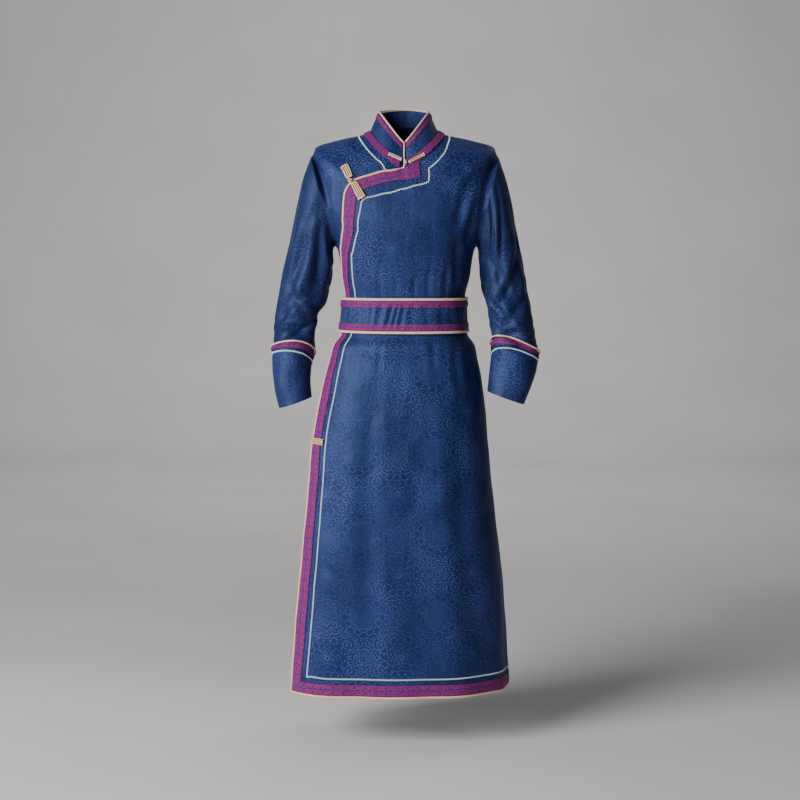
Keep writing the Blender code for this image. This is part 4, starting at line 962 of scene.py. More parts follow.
def flatten(points, rounds=700):
    """The panel laid flat: a place for each of its points, found as its net of threads relaxes."""
    rows, columns = points.shape[:2]
    flat = np.zeros((rows, columns, 2))
    flat[:, 1:, 0] = np.cumsum(np.linalg.norm(np.diff(points, axis=1), axis=2), axis=1)
    flat[..., 0] -= flat[:, columns // 2, 0][:, None]
    up = np.linalg.norm(np.diff(points, axis=0), axis=2)
    flat[1:, :, 1] = np.cumsum(up, axis=0)
    low, high, all_of = slice(None, -1), slice(1, None), slice(None)
    links = [((all_of, low), (all_of, high)), ((low, all_of), (high, all_of)),
             ((low, low), (high, high)), ((low, high), (high, low))]
    rests = [np.linalg.norm(points[b] - points[a], axis=-1) for a, b in links]
    for _ in range(rounds):
        move, count = np.zeros_like(flat), np.zeros((rows, columns, 1))
        for (a, b), rest in zip(links, rests):
            gap = flat[b] - flat[a]
            length = np.linalg.norm(gap, axis=-1)
            pull = gap * ((length - rest) / np.maximum(length, 1e-9) / 2)[..., None]
            move[a] += pull
            move[b] -= pull
            count[a] += 1
            count[b] += 1
        flat += 1.6 * move / count
    middle = flat[:, columns // 2]
    lean = math.atan2(*(middle[-1] - middle[0]))
    turn_back = np.array([[math.cos(lean), math.sin(lean)], [-math.sin(lean), math.cos(lean)]])
    return (flat - middle[0]) @ turn_back


def flat_size(cut):
    """Width, length and area of a panel laid flat."""
    size = np.ptp(cut.reshape(-1, 2), axis=0)
    a, b = cut[1:, 1:] - cut[:-1, :-1], cut[1:, :-1] - cut[:-1, 1:]
    area = np.abs(a[..., 0] * b[..., 1] - a[..., 1] * b[..., 0]).sum() / 2
    return (float(size[0]), float(size[1])), float(area)


def cut_of(net):
    """The net laid flat, from every fourth of its rows and columns, with its size and area."""
    flat = flatten(net[::4, ::4])
    return (refine_net(flat, 4),) + flat_size(flat)


def dress(piece, material, nodes=(), body="root"):
    """Finish, slot, body and the nodes that a new piece stands for."""
    if material is not None:
        piece.data.materials.append(material)
    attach(piece, body)
    if nodes:
        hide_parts(*nodes)
    return piece


# ------------------------------------------------------------ finishes

class Field:
    """A number over a surface, worked out by a material's math nodes."""

    def __init__(self, tree, socket):
        self.tree, self.socket = tree, socket

    def maths(self, operation, *others, clamp=False):
        node = self.tree.nodes.new("ShaderNodeMath")
        node.operation = operation
        node.use_clamp = clamp
        for k, value in enumerate((self,) + others):
            if isinstance(value, Field):
                self.tree.links.new(value.socket, node.inputs[k])
            else:
                node.inputs[k].default_value = value
        return Field(self.tree, node.outputs[0])

    def __add__(self, other):
        return self.maths("ADD", other)

    def __sub__(self, other):
        return self.maths("SUBTRACT", other)

    def __mul__(self, other):
        return self.maths("MULTIPLY", other)

    def at_most(self, other):
        return self.maths("MINIMUM", other)

    def at_least(self, other):
        return self.maths("MAXIMUM", other)

    def size(self):
        return self.maths("ABSOLUTE")

    def wave(self, period):
        return (self * (2 * math.pi / period)).maths("SINE")

    def repeat(self, period, shift=0.0):
        """Signed distance from the nearest of the places that lie a period apart."""
        share = (self * (1 / period) + (0.5 - shift)).maths("FRACT")
        return (share - 0.5) * period

    def within(self, reach, soft=0.0003):
        """1 where the number is under reach and 0 over it, with a soft edge."""
        return self.maths("MULTIPLY_ADD", -1 / soft, reach / soft + 0.5, clamp=True)

    def line_at(self, place, width, soft=0.0003):
        return (self - place).size().within(width / 2, soft)

    def far_from(self, other):
        return (self * self + other * other).maths("SQRT")

    def angle_with(self, other):
        return self.maths("ARCTAN2", other)


def fields_of(tree, name="cut"):
    """The places u and v of the piece's own flat cut, in metres."""
    uv = tree.nodes.new("ShaderNodeUVMap")
    uv.uv_map = name
    split = tree.nodes.new("ShaderNodeSeparateXYZ")
    tree.links.new(uv.outputs[0], split.inputs[0])
    return uv, Field(tree, split.outputs[0]), Field(tree, split.outputs[1])


def cloudy(tree, vector, scale, detail=2.0, stretch=(1, 1, 1)):
    """Soft uneven field from 0 to 1."""
    noise = tree.nodes.new("ShaderNodeTexNoise")
    noise.inputs["Scale"].default_value = scale
    noise.inputs["Detail"].default_value = detail
    place = tree.nodes.new("ShaderNodeMapping")
    place.inputs["Scale"].default_value = stretch
    tree.links.new(vector, place.inputs["Vector"])
    tree.links.new(place.outputs[0], noise.inputs["Vector"])
    return Field(tree, noise.outputs["Fac"])


def blend_colours(tree, share, first, second):
    mix = tree.nodes.new("ShaderNodeMix")
    mix.data_type = "RGBA"
    tree.links.new(share.socket, mix.inputs[0])
    for socket, colour in ((mix.inputs[6], first), (mix.inputs[7], second)):
        if isinstance(colour, bpy.types.NodeSocket):
            tree.links.new(colour, socket)
        else:
            socket.default_value = (*colour, 1)
    return mix.outputs[2]


def shaded(colour, share):
    return tuple(share * c for c in colour)


def new_finish(name, **settings):
    """A material with one Principled shader, its even values set on the shader's own sockets."""
    material = bpy.data.materials.new(name)
    material.use_nodes = True
    shader = material.node_tree.nodes["Principled BSDF"]
    for key, value in settings.items():
        shader.inputs[key.replace("_", " ")].default_value = value
    return material, material.node_tree, shader


def raise_by(tree, shader, height, distance, strength=1.0):
    relief = tree.nodes.new("ShaderNodeBump")
    relief.inputs["Distance"].default_value = distance
    relief.inputs["Strength"].default_value = strength
    tree.links.new(height.socket, relief.inputs["Height"])
    tree.links.new(relief.outputs[0], shader.inputs["Normal"])


# The woven figure: lines round its roundel and rosette (radius, width, depth of their lobes), beads round
# them (radius, number, size), and how far out the diamond's and the fretted square's lines lie
LOBES = 8
ROUNDEL_LINES = ((0.0300, 0.0016, 0.0), (0.0352, 0.0016, 0.0016), (0.0480, 0.0017, 0.0034))
ROUNDEL_BEADS = ((0.0412, 16, 0.0023),)
ROSETTE_LINES = ((0.0138, 0.0016, 0.0), (0.0192, 0.0017, 0.0030), (0.0335, 0.0017, -0.0032))
ROSETTE_BEADS = ((0.0258, 12, 0.0020), (0.0415, 16, 0.0026))
ROSETTE_HEART = 0.0082
ROSETTE_EYE = 0.0026
DIAMOND_LINE = 0.0215
FRET_LINES = (0.0038, 0.0080, 0.0122)
FIGURE_LINE = 0.0017
CURLS = ((0.0270, 0.0078), (0.0150, 0.0062))   # spacing of the curls and pitch of their spirals
CURL_LINE = 0.36        # share of the pitch that the spiral's line takes
ROUNDEL_CLEAR, ROSETTE_CLEAR, SQUARE_CLEAR = 0.0515, 0.0455, 0.0150   # no curls inside these
ROUNDEL_FIELD = 0.0285
LINE_STRENGTH = 0.85
FIGURE_SHOWS = 0.54     # share of the figure's colour that comes through


def satin_finish(name, ground, figure, tall, wide):
    """Jacquard satin: roundels, rosettes and fretted squares among curls, in paler threads on deep blue."""
    material, tree, shader = new_finish(
        name, Sheen_Weight=0.06, Sheen_Roughness=0.35, Sheen_Tint=(0.30, 0.50, 1.0, 1), Anisotropic=0.45,
        Specular_IOR_Level=0.30, Specular_Tint=(0.46, 0.64, 1.0, 1))
    uv, u, v = fields_of(tree)
    near_u, near_v = u.repeat(wide), v.repeat(tall)
    far_u, far_v = u.repeat(wide, 0.5), v.repeat(tall, 0.5)
    roundel, roundel_angle = near_u.far_from(near_v), near_v.angle_with(near_u)
    rosette, rosette_angle = far_u.far_from(far_v), far_v.angle_with(far_u)
    square = far_u.size().at_least(near_v.size()).at_most(near_u.size().at_least(far_v.size()))
    diamond = (far_u.size() + near_v.size()).at_most(near_u.size() + far_v.size())

    heart = rosette - (rosette_angle * LOBES).maths("COSINE") * ROSETTE_EYE
    marks = [heart.within(ROSETTE_HEART) - rosette.within(ROSETTE_EYE), diamond.line_at(DIAMOND_LINE, 0.0015)]
    marks += [square.line_at(reach, FIGURE_LINE) for reach in FRET_LINES]
    for distance, angle, lines, beads in ((roundel, roundel_angle, ROUNDEL_LINES, ROUNDEL_BEADS),
                                          (rosette, rosette_angle, ROSETTE_LINES, ROSETTE_BEADS)):
        lobes = (angle * LOBES).maths("COSINE")
        for radius, width, depth in lines:
            marks.append((distance - lobes * depth if depth else distance).line_at(radius, width))
        for radius, count, size in beads:
            share = (angle * (count / (2 * math.pi))).maths("FRACT")
            off = (share - 0.5) * (2 * math.pi * radius / count)
            marks.append(off.far_from(distance - radius).within(size, 0.0005))
    # curls: one spiral in each cell of a scattered net that mirrors from repeat to repeat
    join = tree.nodes.new("ShaderNodeCombineXYZ")
    tree.links.new(near_u.size().socket, join.inputs[0])
    tree.links.new(near_v.size().socket, join.inputs[1])
    curls = []
    for spacing, pitch in CURLS:
        cells = tree.nodes.new("ShaderNodeTexVoronoi")
        cells.voronoi_dimensions = "2D"
        cells.inputs["Scale"].default_value = 1 / spacing
        cells.inputs["Randomness"].default_value = 0.75
        tree.links.new(join.outputs[0], cells.inputs["Vector"])
        middle = tree.nodes.new("ShaderNodeSeparateXYZ")
        tree.links.new(cells.outputs["Position"], middle.inputs[0])
        aside = near_u.size() - Field(tree, middle.outputs[0])
        above = near_v.size() - Field(tree, middle.outputs[1])
        wound = aside.far_from(above) * (1 / pitch) + above.angle_with(aside) * (1 / (2 * math.pi))
        curls.append((wound.maths("FRACT") - 0.5).size().within(CURL_LINE / 2, 0.12))
    patch = cloudy(tree, join.outputs[0], 34.0, 1.0).maths("MULTIPLY_ADD", 14.0, -6.6, clamp=True)
    curl = curls[0] * patch + curls[1] * (patch * -1 + 1)
    taken = roundel.within(ROUNDEL_CLEAR, 0.001).at_least(rosette.within(ROSETTE_CLEAR, 0.001))
    taken = taken.at_least(square.within(SQUARE_CLEAR))
    figured = (curl * LINE_STRENGTH - taken).at_least(0.0)
    for mark in marks:
        figured = figured.at_least(mark * LINE_STRENGTH)
    figured = figured.at_least(roundel.within(ROUNDEL_FIELD, 0.001) * 0.22)
    figured = figured * cloudy(tree, uv.outputs[0], 190.0, 1.0).maths("MULTIPLY_ADD", 4.0, -1.1, clamp=True)
    # broad random patches where the figure shows more: painted sheen, standing for where the light catches
    # the woven figure
    light_catch = cloudy(tree, uv.outputs[0], 5.0, 3.0)
    figured = figured * light_catch.maths("MULTIPLY_ADD", 5.0, -2.1, clamp=True).maths("MULTIPLY_ADD", 0.70, 0.30)
    tone = cloudy(tree, uv.outputs[0], 16.0, 5.0, (1.0, 0.5, 1.0))
    slub = cloudy(tree, uv.outputs[0], 260.0, 2.0, (0.35, 1.0, 1.0))
    spread_tone = (tone * 1.2 + slub * 0.9 - 0.55).at_least(0.0)
    cloth = blend_colours(tree, spread_tone, shaded(ground, 0.55), shaded(ground, 1.45))
    tree.links.new(blend_colours(tree, figured * FIGURE_SHOWS, cloth, figure), shader.inputs["Base Color"])
    rough = figured.maths("MULTIPLY_ADD", 0.14, 0.46)
    tree.links.new((rough + (tone - 0.5) * 0.16).socket, shader.inputs["Roughness"])
    threads = v.wave(0.00052) * 0.5 + (u + v * 0.34).wave(0.00040) * 0.5
    crinkle = cloudy(tree, uv.outputs[0], 26.0, 3.0, (1.0, 0.55, 1.0))
    raise_by(tree, shader, figured * 0.00016 + threads * 0.00002 + slub * 0.00010 + crinkle * 0.0040, 1.0)
    tangent = tree.nodes.new("ShaderNodeTangent")
    tangent.direction_type = "UV_MAP"
    tangent.uv_map = "cut"
    tree.links.new(tangent.outputs[0], shader.inputs["Tangent"])
    return material


BRAID_WARM = (0.11, 0.008, 0.17)


def braid_finish(name, ground, motif, light, width):
    """Woven braid: stars and crosses in violet on crimson, with small pink flecks between."""
    material, tree, shader = new_finish(
        name, Sheen_Weight=0.06, Sheen_Roughness=0.5, Sheen_Tint=(1.0, 0.35, 0.6, 1), Specular_IOR_Level=0.30)
    uv, u, v = fields_of(tree)
    middle = v - width / 2
    edge = middle.size()
    pitch = min(0.025, 1.25 * width)
    along, between = u.repeat(pitch), u.repeat(pitch, 0.5)
    flower, angle = along.far_from(middle), middle.angle_with(along)
    size = width * 0.37
    figure = (flower - (angle * 4).maths("COSINE") * size * 0.34).within(size * 0.78, 0.0006) \
        - flower.within(size * 0.20)
    spray = cloudy(tree, uv.outputs[0], 210.0, 2.0).maths("MULTIPLY_ADD", 11.0, -5.7, clamp=True)
    for mark in (between.size().at_most(edge).within(0.0014) * between.far_from(middle).within(size * 0.70),
                 (between.far_from(middle) - size * 1.15).size().within(0.0007) * 0.6, spray * 0.8,
                 (u.repeat(pitch / 2).size() + (edge * -1 + width / 2)).within(width * 0.09)):
        figure = figure.at_least(mark)
    grain = cloudy(tree, uv.outputs[0], 420.0, 3.0)
    fleck = grain.maths("MULTIPLY_ADD", 10.0, -5.4, clamp=True)
    dull = (grain * -1 + 1).maths("MULTIPLY_ADD", 9.0, -5.0, clamp=True)
    warm = cloudy(tree, uv.outputs[0], 45.0, 2.0).maths("MULTIPLY_ADD", 3.0, -1.0, clamp=True)
    warmer = tuple(0.5 * g + 0.5 * w for g, w in zip(ground, BRAID_WARM))
    cloth = blend_colours(tree, warm, ground, warmer)
    cloth = blend_colours(tree, figure * 0.95, cloth, motif)
    cloth = blend_colours(tree, fleck * 0.62, cloth, light)
    cloth = blend_colours(tree, dull * 0.50, cloth, shaded(motif, 0.45))
    selvage = edge.line_at(width / 2 - 0.0009, 0.0011)
    cloth = blend_colours(tree, selvage * 0.7, cloth, shaded(ground, 0.45))
    tree.links.new(cloth, shader.inputs["Base Color"])
    tree.links.new((figure * 0.12 + 0.52).socket, shader.inputs["Roughness"])
    weave = u.wave(0.0009) * v.wave(0.0008)
    raise_by(tree, shader, figure * 0.6 + weave * 0.4 + fleck * 0.3, 0.00022)
    return material


def cord_finish(name, colour, tone_and_hollow_shade, pitch, gloss):
    """Satin-covered or twisted cord: slanting threads along its length, darkened between them as painted
    shade.
    """
    material, tree, shader = new_finish(
        name, Sheen_Weight=0.3, Sheen_Roughness=0.35, Sheen_Tint=(*colour, 1), Specular_IOR_Level=0.55)
    uv, u, v = fields_of(tree)
    slant = (u + v * 0.8).wave(pitch)
    soft = cloudy(tree, uv.outputs[0], 60.0, 2.0)
    # the darker colour comes in at random, which is tone, and along the slanting threads, which is painted
    # shade in the twist's hollows
    share = (slant * 0.28 + soft * 0.55 + 0.08).at_least(0.0)
    tree.links.new(blend_colours(tree, share, colour, tone_and_hollow_shade), shader.inputs["Base Color"])
    tree.links.new((soft * 0.14 + gloss).socket, shader.inputs["Roughness"])
    raise_by(tree, shader, slant + (u + v * 0.8).wave(pitch / 5) * 0.25, 0.00022)
    return material


# ------------------------------------------------------------ what a user may change

class DEEL_PG_cloth(bpy.types.PropertyGroup):
    wall: FloatProperty(name="Cloth Wall", description="Thickness of the satin with its backing",
                        default=0.0013, min=0.0005, max=0.003, unit="LENGTH")
    ground: FloatVectorProperty(name="Satin Ground", description="Colour of the satin",
                                default=(0.0096, 0.0182, 0.0820), subtype="COLOR", size=3)
    figure: FloatVectorProperty(name="Satin Figure", description="Colour of the woven figure",
                                default=(0.0900, 0.1500, 0.4200), subtype="COLOR", size=3)
    repeat_width: FloatProperty(name="Repeat Width", description="Width of the woven repeat",
                                default=0.174, min=0.05, max=0.5, unit="LENGTH")
    repeat_height: FloatProperty(name="Repeat Height", description="Height of the woven repeat",
                                 default=0.190, min=0.05, max=0.5, unit="LENGTH")
    fineness: IntProperty(name="Fineness", description="Mesh steps between two points of a panel's net",
                          default=8, min=2, max=9)


class DEEL_PG_trims(bpy.types.PropertyGroup):
    braid: FloatVectorProperty(name="Braid Ground", description="Colour of the woven braid",
                               default=(0.270, 0.004, 0.056), subtype="COLOR", size=3)
    motif: FloatVectorProperty(name="Braid Motif", description="Colour of the braid's flowers",
                               default=(0.018, 0.009, 0.150), subtype="COLOR", size=3)
    fleck: FloatVectorProperty(name="Braid Fleck", description="Colour of the small flecks",
                               default=(0.640, 0.060, 0.320), subtype="COLOR", size=3)
    piping: FloatVectorProperty(name="Piping", description="Colour of the satin piping",
                                default=(0.990, 0.690, 0.560), subtype="COLOR", size=3)
    gold: FloatVectorProperty(name="Frog Cord", description="Colour of the frogs' gold cord",
                              default=(0.960, 0.700, 0.440), subtype="COLOR", size=3)
    rickrack: FloatVectorProperty(name="Rickrack", description="Colour of the rickrack",
                                  default=(0.820, 0.990, 0.980), subtype="COLOR", size=3)
    rickrack_pitch: FloatProperty(name="Rickrack Pitch", description="Length of one wave of the rickrack",
                                  default=0.0064, min=0.003, max=0.02, unit="LENGTH")
    stitch: FloatProperty(name="Stitch Length", description="Length of a stitch of the topstitching",
                          default=0.0026, min=0.001, max=0.006, unit="LENGTH")


# Cords: their colour or what the panel calls it, the darker colour mixed in at random and as painted shade in
# their hollows, pitch and roughness
CORDS = {
    "piping": ("piping", (0.62, 0.24, 0.15), 0.0030, 0.30),
    "gold_cord": ("gold", (0.50, 0.20, 0.06), 0.0024, 0.26),
    "pale_cord": ((0.96, 0.76, 0.57), (0.66, 0.38, 0.21), 0.0024, 0.32),
    "deep_cord": ((0.130, 0.045, 0.012), (0.060, 0.020, 0.008), 0.0020, 0.40),
    "knot_shade": ((0.030, 0.016, 0.020), (0.006, 0.004, 0.006), 0.0016, 0.40),
    "rickrack": ("rickrack", (0.56, 0.82, 0.80), 0.0011, 0.45),
    "thread": ((0.030, 0.075, 0.170), (0.012, 0.030, 0.080), 0.0008, 0.40),
    "braid_thread": ((0.50, 0.05, 0.16), (0.22, 0.01, 0.08), 0.0008, 0.40),
}
BRAID_WIDTHS = {"braid_hem": BRAID, "braid_narrow": BELT_BRAID}
# The sleeves' satin is a darker copy of the body's, ×0.74: painted shade that darkens the sleeves
SATIN_PAINTED_SHADE = {"satin": 1.0, "satin_sleeve": 0.74}
FINISHES = {}


def finish_named(name):
    """Each finish is made once, from the sizes and colours of the panel."""
    if name in FINISHES:
        return FINISHES[name]
    cloth, trims = bpy.context.scene.deel_cloth, bpy.context.scene.deel_trims
    if name in CORDS:
        colour, *rest = CORDS[name]
        made = cord_finish(name, tuple(getattr(trims, colour) if isinstance(colour, str) else colour), *rest)
    elif name in BRAID_WIDTHS:
        made = braid_finish(name, *(tuple(c) for c in (trims.braid, trims.motif, trims.fleck)),
                            BRAID_WIDTHS[name])
    else:
        # the satin, and its darker copy for the sleeves, which is painted shade
        made = satin_finish(name, *(shaded(c, SATIN_PAINTED_SHADE[name]) for c in (cloth.ground, cloth.figure)),
                            cloth.repeat_height, cloth.repeat_width)
    FINISHES[name] = made
    return made


# ------------------------------------------------------------ pieces

SHEETS = {}


def stands_for(name):
    """The solid that a piece stands for has the piece's name without its first word."""
    return (name.split("_", 1)[1],)


def main_cloth(name, net, wall, laid=None, ring=False, look="satin"):
    """A main piece of cloth on its net; laid is the net laid flat, its size and its area."""
    cut, size, area = laid or cut_of(closed_round(net) if ring else net)
    piece = wall_of_cloth(name, net, wall, cut, ring)
    SHEETS[name] = (dress(piece, finish_named(look), stands_for(name)), size, area)


def panel(name, places, layer, seam_shift):
    """One cut panel: its net refined, folded as worn and given its wall."""
    cloth = bpy.context.scene.deel_cloth
    flat = flatten(layer(places[..., 0], places[..., 1]))
    corners = (LAPEL_COLUMNS - 1, LAPEL_COLUMNS) if name == "robe_front_overlap" else ()
    fine, cut = (refine_net(net, cloth.fineness, corners) for net in (places, flat))
    fine[..., 1] = np.clip(fine[..., 1], HEM, NECK)
    outer = layer(fine[..., 0], fine[..., 1])
    at_seam = (fine[..., 1] > ARMPIT - 1e-6) & (np.abs(np.cos(np.radians(fine[..., 0]))) < 1e-6)
    outer[..., 1] += np.where(at_seam, seam_shift, 0.0)
    main_cloth(name, outer, cloth.wall, (cut,) + flat_size(flat))


def crown_at(share):
    """Rise of a woven trim's face at shares of its width."""
    return TRIM_WALL * (0.55 + 0.45 * np.sin(math.pi * share) ** 0.35)


def woven_trim(name, outer, share, look, ring=False, map_width=None):
    """A woven trim on its net of points, whose rows lie at shares of its width."""
    net = closed_round(outer) if ring else outer
    length = lengths_along(net[len(net) // 2])
    width = np.linalg.norm(np.diff(net, axis=0), axis=2).sum(axis=0)
    cut = np.stack(np.broadcast_arrays(length, share * (map_width or width)), axis=-1)
    piece = wall_of_cloth(name, outer, TRIM_WALL * BRAID_SHELL, cut, ring)
    dress(piece, finish_named(look), stands_for(name))


def ribbon(name, edges, layer, look, out=TRIM_LIFT, corners=()):
    """A flat woven trim over paths of places on a layer, each to the right of the one before."""
    edges = np.array([refine(np.asarray(edge, float), 8, corners) for edge in edges])
    if len(edges) == 2:
        across = np.linspace(0, 1, TRIM_COLUMNS + 1)[:, None, None]
        net = edges[0][None] * (1 - across) + edges[1][None] * across
    else:
        net = refine(edges, TRIM_COLUMNS // 2)
    net = net[:, ::-1]
    share = np.linspace(0, 1, len(net))[:, None]
    rise = out + np.broadcast_to(crown_at(share), net.shape[:2])
    woven_trim(name, layer(net[..., 0], net[..., 1], rise), share, look)


def ring_trim(name, points_at, rows, lift):
    """A woven trim that runs right round; points_at gives its points from turns, rows and out."""
    around = np.linspace(0, 360, 360, endpoint=False)
    share = np.linspace(0, 1, TRIM_COLUMNS + 1)[:, None]
    outer = points_at(around[None, :], rows[0] + (rows[1] - rows[0]) * share, lift + crown_at(share))
    woven_trim(name, outer, share, "braid_narrow", ring=True)


def sewn_cord(name, centres, up, radius, look="piping", slot="piping", whole=True, closed=False, sides=12):
    """A cord sewn down along its centres; a whole one stands for its own solid."""
    piece = tube_on(name, centres, up, radius, sides, closed)
    return dress(piece, finish_named(look), stands_for(name) if whole else ())


def edge_cord(name, path, layer, plain, corners=()):
    """Piping on a panel's cut edge, just outside it; the panel is to the right of the path."""
    outer = refine(beside(path, -(EDGE_CORD + SEAM), plain), 6, corners)
    centres = layer(outer[:, 0], outer[:, 1], -HALFWAY)
    sewn_cord(name, centres, outward(outer[:, 0], outer[:, 1]), EDGE_CORD)


# ------------------------------------------------------------ repeats made by geometry nodes

def link_up(tree, pairs):
    for out, into in pairs:
        tree.links.new(out, into)


def node_of(tree, kind, **values):
    node = tree.nodes.new(kind)
    for key, value in values.items():
        setattr(node, key, value)
    return node


def path_piece(name, points, side=None):
    """Edges along points, which may carry a direction for the nodes that follow them."""
    mesh = bpy.data.meshes.new(name)
    mesh.from_pydata(points, [(k, k + 1) for k in range(len(points) - 1)], [])
    if side is not None:
        carried = mesh.attributes.new("side", "FLOAT_VECTOR", "POINT")
        carried.data.foreach_set("vector", np.asarray(side, np.float32).ravel())
    return placed(name, mesh)


def path_tree(name, sizes, spacing):
    """A tree that sets points evenly along a path; what is made of them gets its finish."""
    tree = bpy.data.node_groups.new(name, "GeometryNodeTree")
    inputs = [("Geometry", "Geometry")] + [(size, "Float") for size in sizes] + [("Finish", "Material")]
    for label, kind in inputs:
        tree.interface.new_socket(label, in_out="INPUT", socket_type="NodeSocket" + kind)
    tree.interface.new_socket("Geometry", in_out="OUTPUT", socket_type="NodeSocketGeometry")
    start, end = tree.nodes.new("NodeGroupInput"), tree.nodes.new("NodeGroupOutput")
    to_curve = tree.nodes.new("GeometryNodeMeshToCurve")
    evenly = node_of(tree, "GeometryNodeResampleCurve", mode="LENGTH")
    real = tree.nodes.new("GeometryNodeRealizeInstances")
    finish = tree.nodes.new("GeometryNodeSetMaterial")
    link_up(tree, (
        (start.outputs["Geometry"], to_curve.inputs["Mesh"]), (to_curve.outputs[0], evenly.inputs["Curve"]),
        (start.outputs[spacing], evenly.inputs["Length"]), (real.outputs[0], finish.inputs["Geometry"]),
        (start.outputs["Finish"], finish.inputs["Material"]), (finish.outputs[0], end.inputs[0])))
    return tree, start, evenly.outputs[0], real.inputs[0]


def maths_node(tree, operation, first, second):
    node = node_of(tree, "ShaderNodeMath", operation=operation)
    for k, value in enumerate((first, second)):
        if isinstance(value, bpy.types.NodeSocket):
            tree.links.new(value, node.inputs[k])
        elif value is not None:
            node.inputs[k].default_value = value
    return node.outputs[0]


def named_vector(tree, label):
    node = node_of(tree, "GeometryNodeInputNamedAttribute", data_type="FLOAT_VECTOR")
    node.inputs["Name"].default_value = label
    return node.outputs[0]


def waved_cord_tree():
    """Rickrack: a cord swung from side to side along its path."""
    tree, start, path, made = path_tree("Waved Cord", ("Pitch", "Reach", "Radius", "Step"), "Step")
    along = tree.nodes.new("GeometryNodeSplineParameter")
    phase = maths_node(tree, "DIVIDE", along.outputs["Length"], start.outputs["Pitch"])
    swing = maths_node(tree, "SINE", maths_node(tree, "MULTIPLY", phase, 2 * math.pi), None)
    scale = node_of(tree, "ShaderNodeVectorMath", operation="SCALE")
    moved = tree.nodes.new("GeometryNodeSetPosition")
    profile = node_of(tree, "GeometryNodeCurvePrimitiveCircle", mode="RADIUS")
    profile.inputs["Resolution"].default_value = 6
    to_mesh = tree.nodes.new("GeometryNodeCurveToMesh")
    to_mesh.inputs["Fill Caps"].default_value = True
    link_up(tree, (
        (path, moved.inputs["Geometry"]), (named_vector(tree, "side"), scale.inputs[0]),
        (maths_node(tree, "MULTIPLY", swing, start.outputs["Reach"]), scale.inputs["Scale"]),
        (scale.outputs[0], moved.inputs["Offset"]), (start.outputs["Radius"], profile.inputs["Radius"]),
        (moved.outputs[0], to_mesh.inputs["Curve"]), (profile.outputs[0], to_mesh.inputs["Profile Curve"]),
        (to_mesh.outputs[0], made)))
    return tree


def stitch_tree():
    """Topstitching: a small rounded stitch laid along its path at even steps."""
    tree, start, path, made = path_tree("Stitches", ("Pitch", "Length", "Radius"), "Pitch")
    ball = tree.nodes.new("GeometryNodeMeshUVSphere")
    ball.inputs["Segments"].default_value = 5
    ball.inputs["Rings"].default_value = 4
    shape = tree.nodes.new("ShaderNodeCombineXYZ")
    shape.inputs["Z"].default_value = 1.0
    place = tree.nodes.new("GeometryNodeInstanceOnPoints")
    tangent = tree.nodes.new("GeometryNodeInputTangent")
    lie = node_of(tree, "FunctionNodeAlignRotationToVector", axis="Z")
    half = maths_node(tree, "MULTIPLY", start.outputs["Length"], 0.5)
    slim = maths_node(tree, "DIVIDE", start.outputs["Radius"], start.outputs["Length"])
    twice = maths_node(tree, "MULTIPLY", slim, 2.0)
    link_up(tree, (
        (path, place.inputs["Points"]), (half, ball.inputs["Radius"]), (twice, shape.inputs["X"]),
        (twice, shape.inputs["Y"]), (shape.outputs[0], place.inputs["Scale"]),
        (ball.outputs[0], place.inputs["Instance"]), (tangent.outputs[0], lie.inputs["Vector"]),
        (lie.outputs[0], place.inputs["Rotation"]), (place.outputs[0], made)))
    return tree


def made_by_nodes(piece, tree, **values):
    """The piece as a plain mesh, after its nodes have run once."""
    modifier = piece.modifiers.new("Nodes", "NODES")
    modifier.node_group = tree
    sockets = {item.name: item.identifier for item in tree.interface.items_tree if item.in_out == "INPUT"}
    for key, value in values.items():
        modifier[sockets[key]] = value
    bpy.context.view_layer.update()
    evaluated = piece.evaluated_get(bpy.context.evaluated_depsgraph_get())
    mesh = bpy.data.meshes.new_from_object(evaluated)
    piece.modifiers.remove(modifier)
    old, piece.data = piece.data, mesh
    bpy.data.meshes.remove(old)
    mesh.name = piece.name
    mesh.shade_smooth()
    return piece


def object_cut(piece):
    """Gives a piece made by nodes its own map, so that its threads run on it."""
    x, y, z = np.array([point.co for point in piece.data.vertices], float).T
    map_of(piece.data, np.stack([x + y, z], axis=-1))
    return piece


def rickrack(name, points, up, tree):
    trims = bpy.context.scene.deel_trims
    piece = path_piece(name, points, unit(np.cross(unit(np.gradient(points, axis=0)), up)))
    made_by_nodes(piece, tree, Pitch=trims.rickrack_pitch, Reach=RICKRACK_REACH, Radius=RICKRACK_CORD,
                  Step=trims.rickrack_pitch / 8, Finish=finish_named("rickrack"))
    dress(object_cut(piece), None)


def stitches(name, points, tree, look):
    length = bpy.context.scene.deel_trims.stitch
    piece = path_piece(name, points)
    made_by_nodes(piece, tree, Pitch=length * STITCH_PITCH, Length=length, Radius=STITCH_RADIUS,
                  Finish=finish_named(look))
    dress(object_cut(piece), None)


def along_places(path, layer, out, steps=6, corners=()):
    """Points and outward directions along a path of places on a layer."""
    fine = refine(np.asarray(path, float), steps, corners)
    return layer(fine[:, 0], fine[:, 1], out), outward(fine[:, 0], fine[:, 1])


# ------------------------------------------------------------ where the trims run

@lru_cache(maxsize=None)
def nets():
    return overlap_places(), under_places(), back_places()


def front_path():
    path = front_edge(nets()[0]).copy()
    path[0, 0] -= HEM_TRIM_SHORT
    return path


@lru_cache(maxsize=None)
def front_braid_edges():
    path = front_path()
    inner = clear_of_corner(path[:-1], BRAID + CORNER_ROOM)
    top, foot = np.array(LAPEL_BRAID_END)
    edges = []
    for share in (0.0, 0.5, 1.0):
        edge = beside(inner, EDGE_INSET + share * (braid_width(inner) - EDGE_INSET))
        edge = hem_end(path, edge, EDGE_INSET + share * (BRAID - EDGE_INSET))[:-2]
        last = plain_over(edge[-1:, 0], edge[-1:, 1])[0, [0, 2]]
        run = last + (top + share * (foot - top) - last) * np.array([[1 / 3], [2 / 3], [1.0]])
        edges.append(np.concatenate([edge, place_on_front(run)]))
    return edges


FRONT_CORNERS = (FRONT_COLUMNS + 1,)


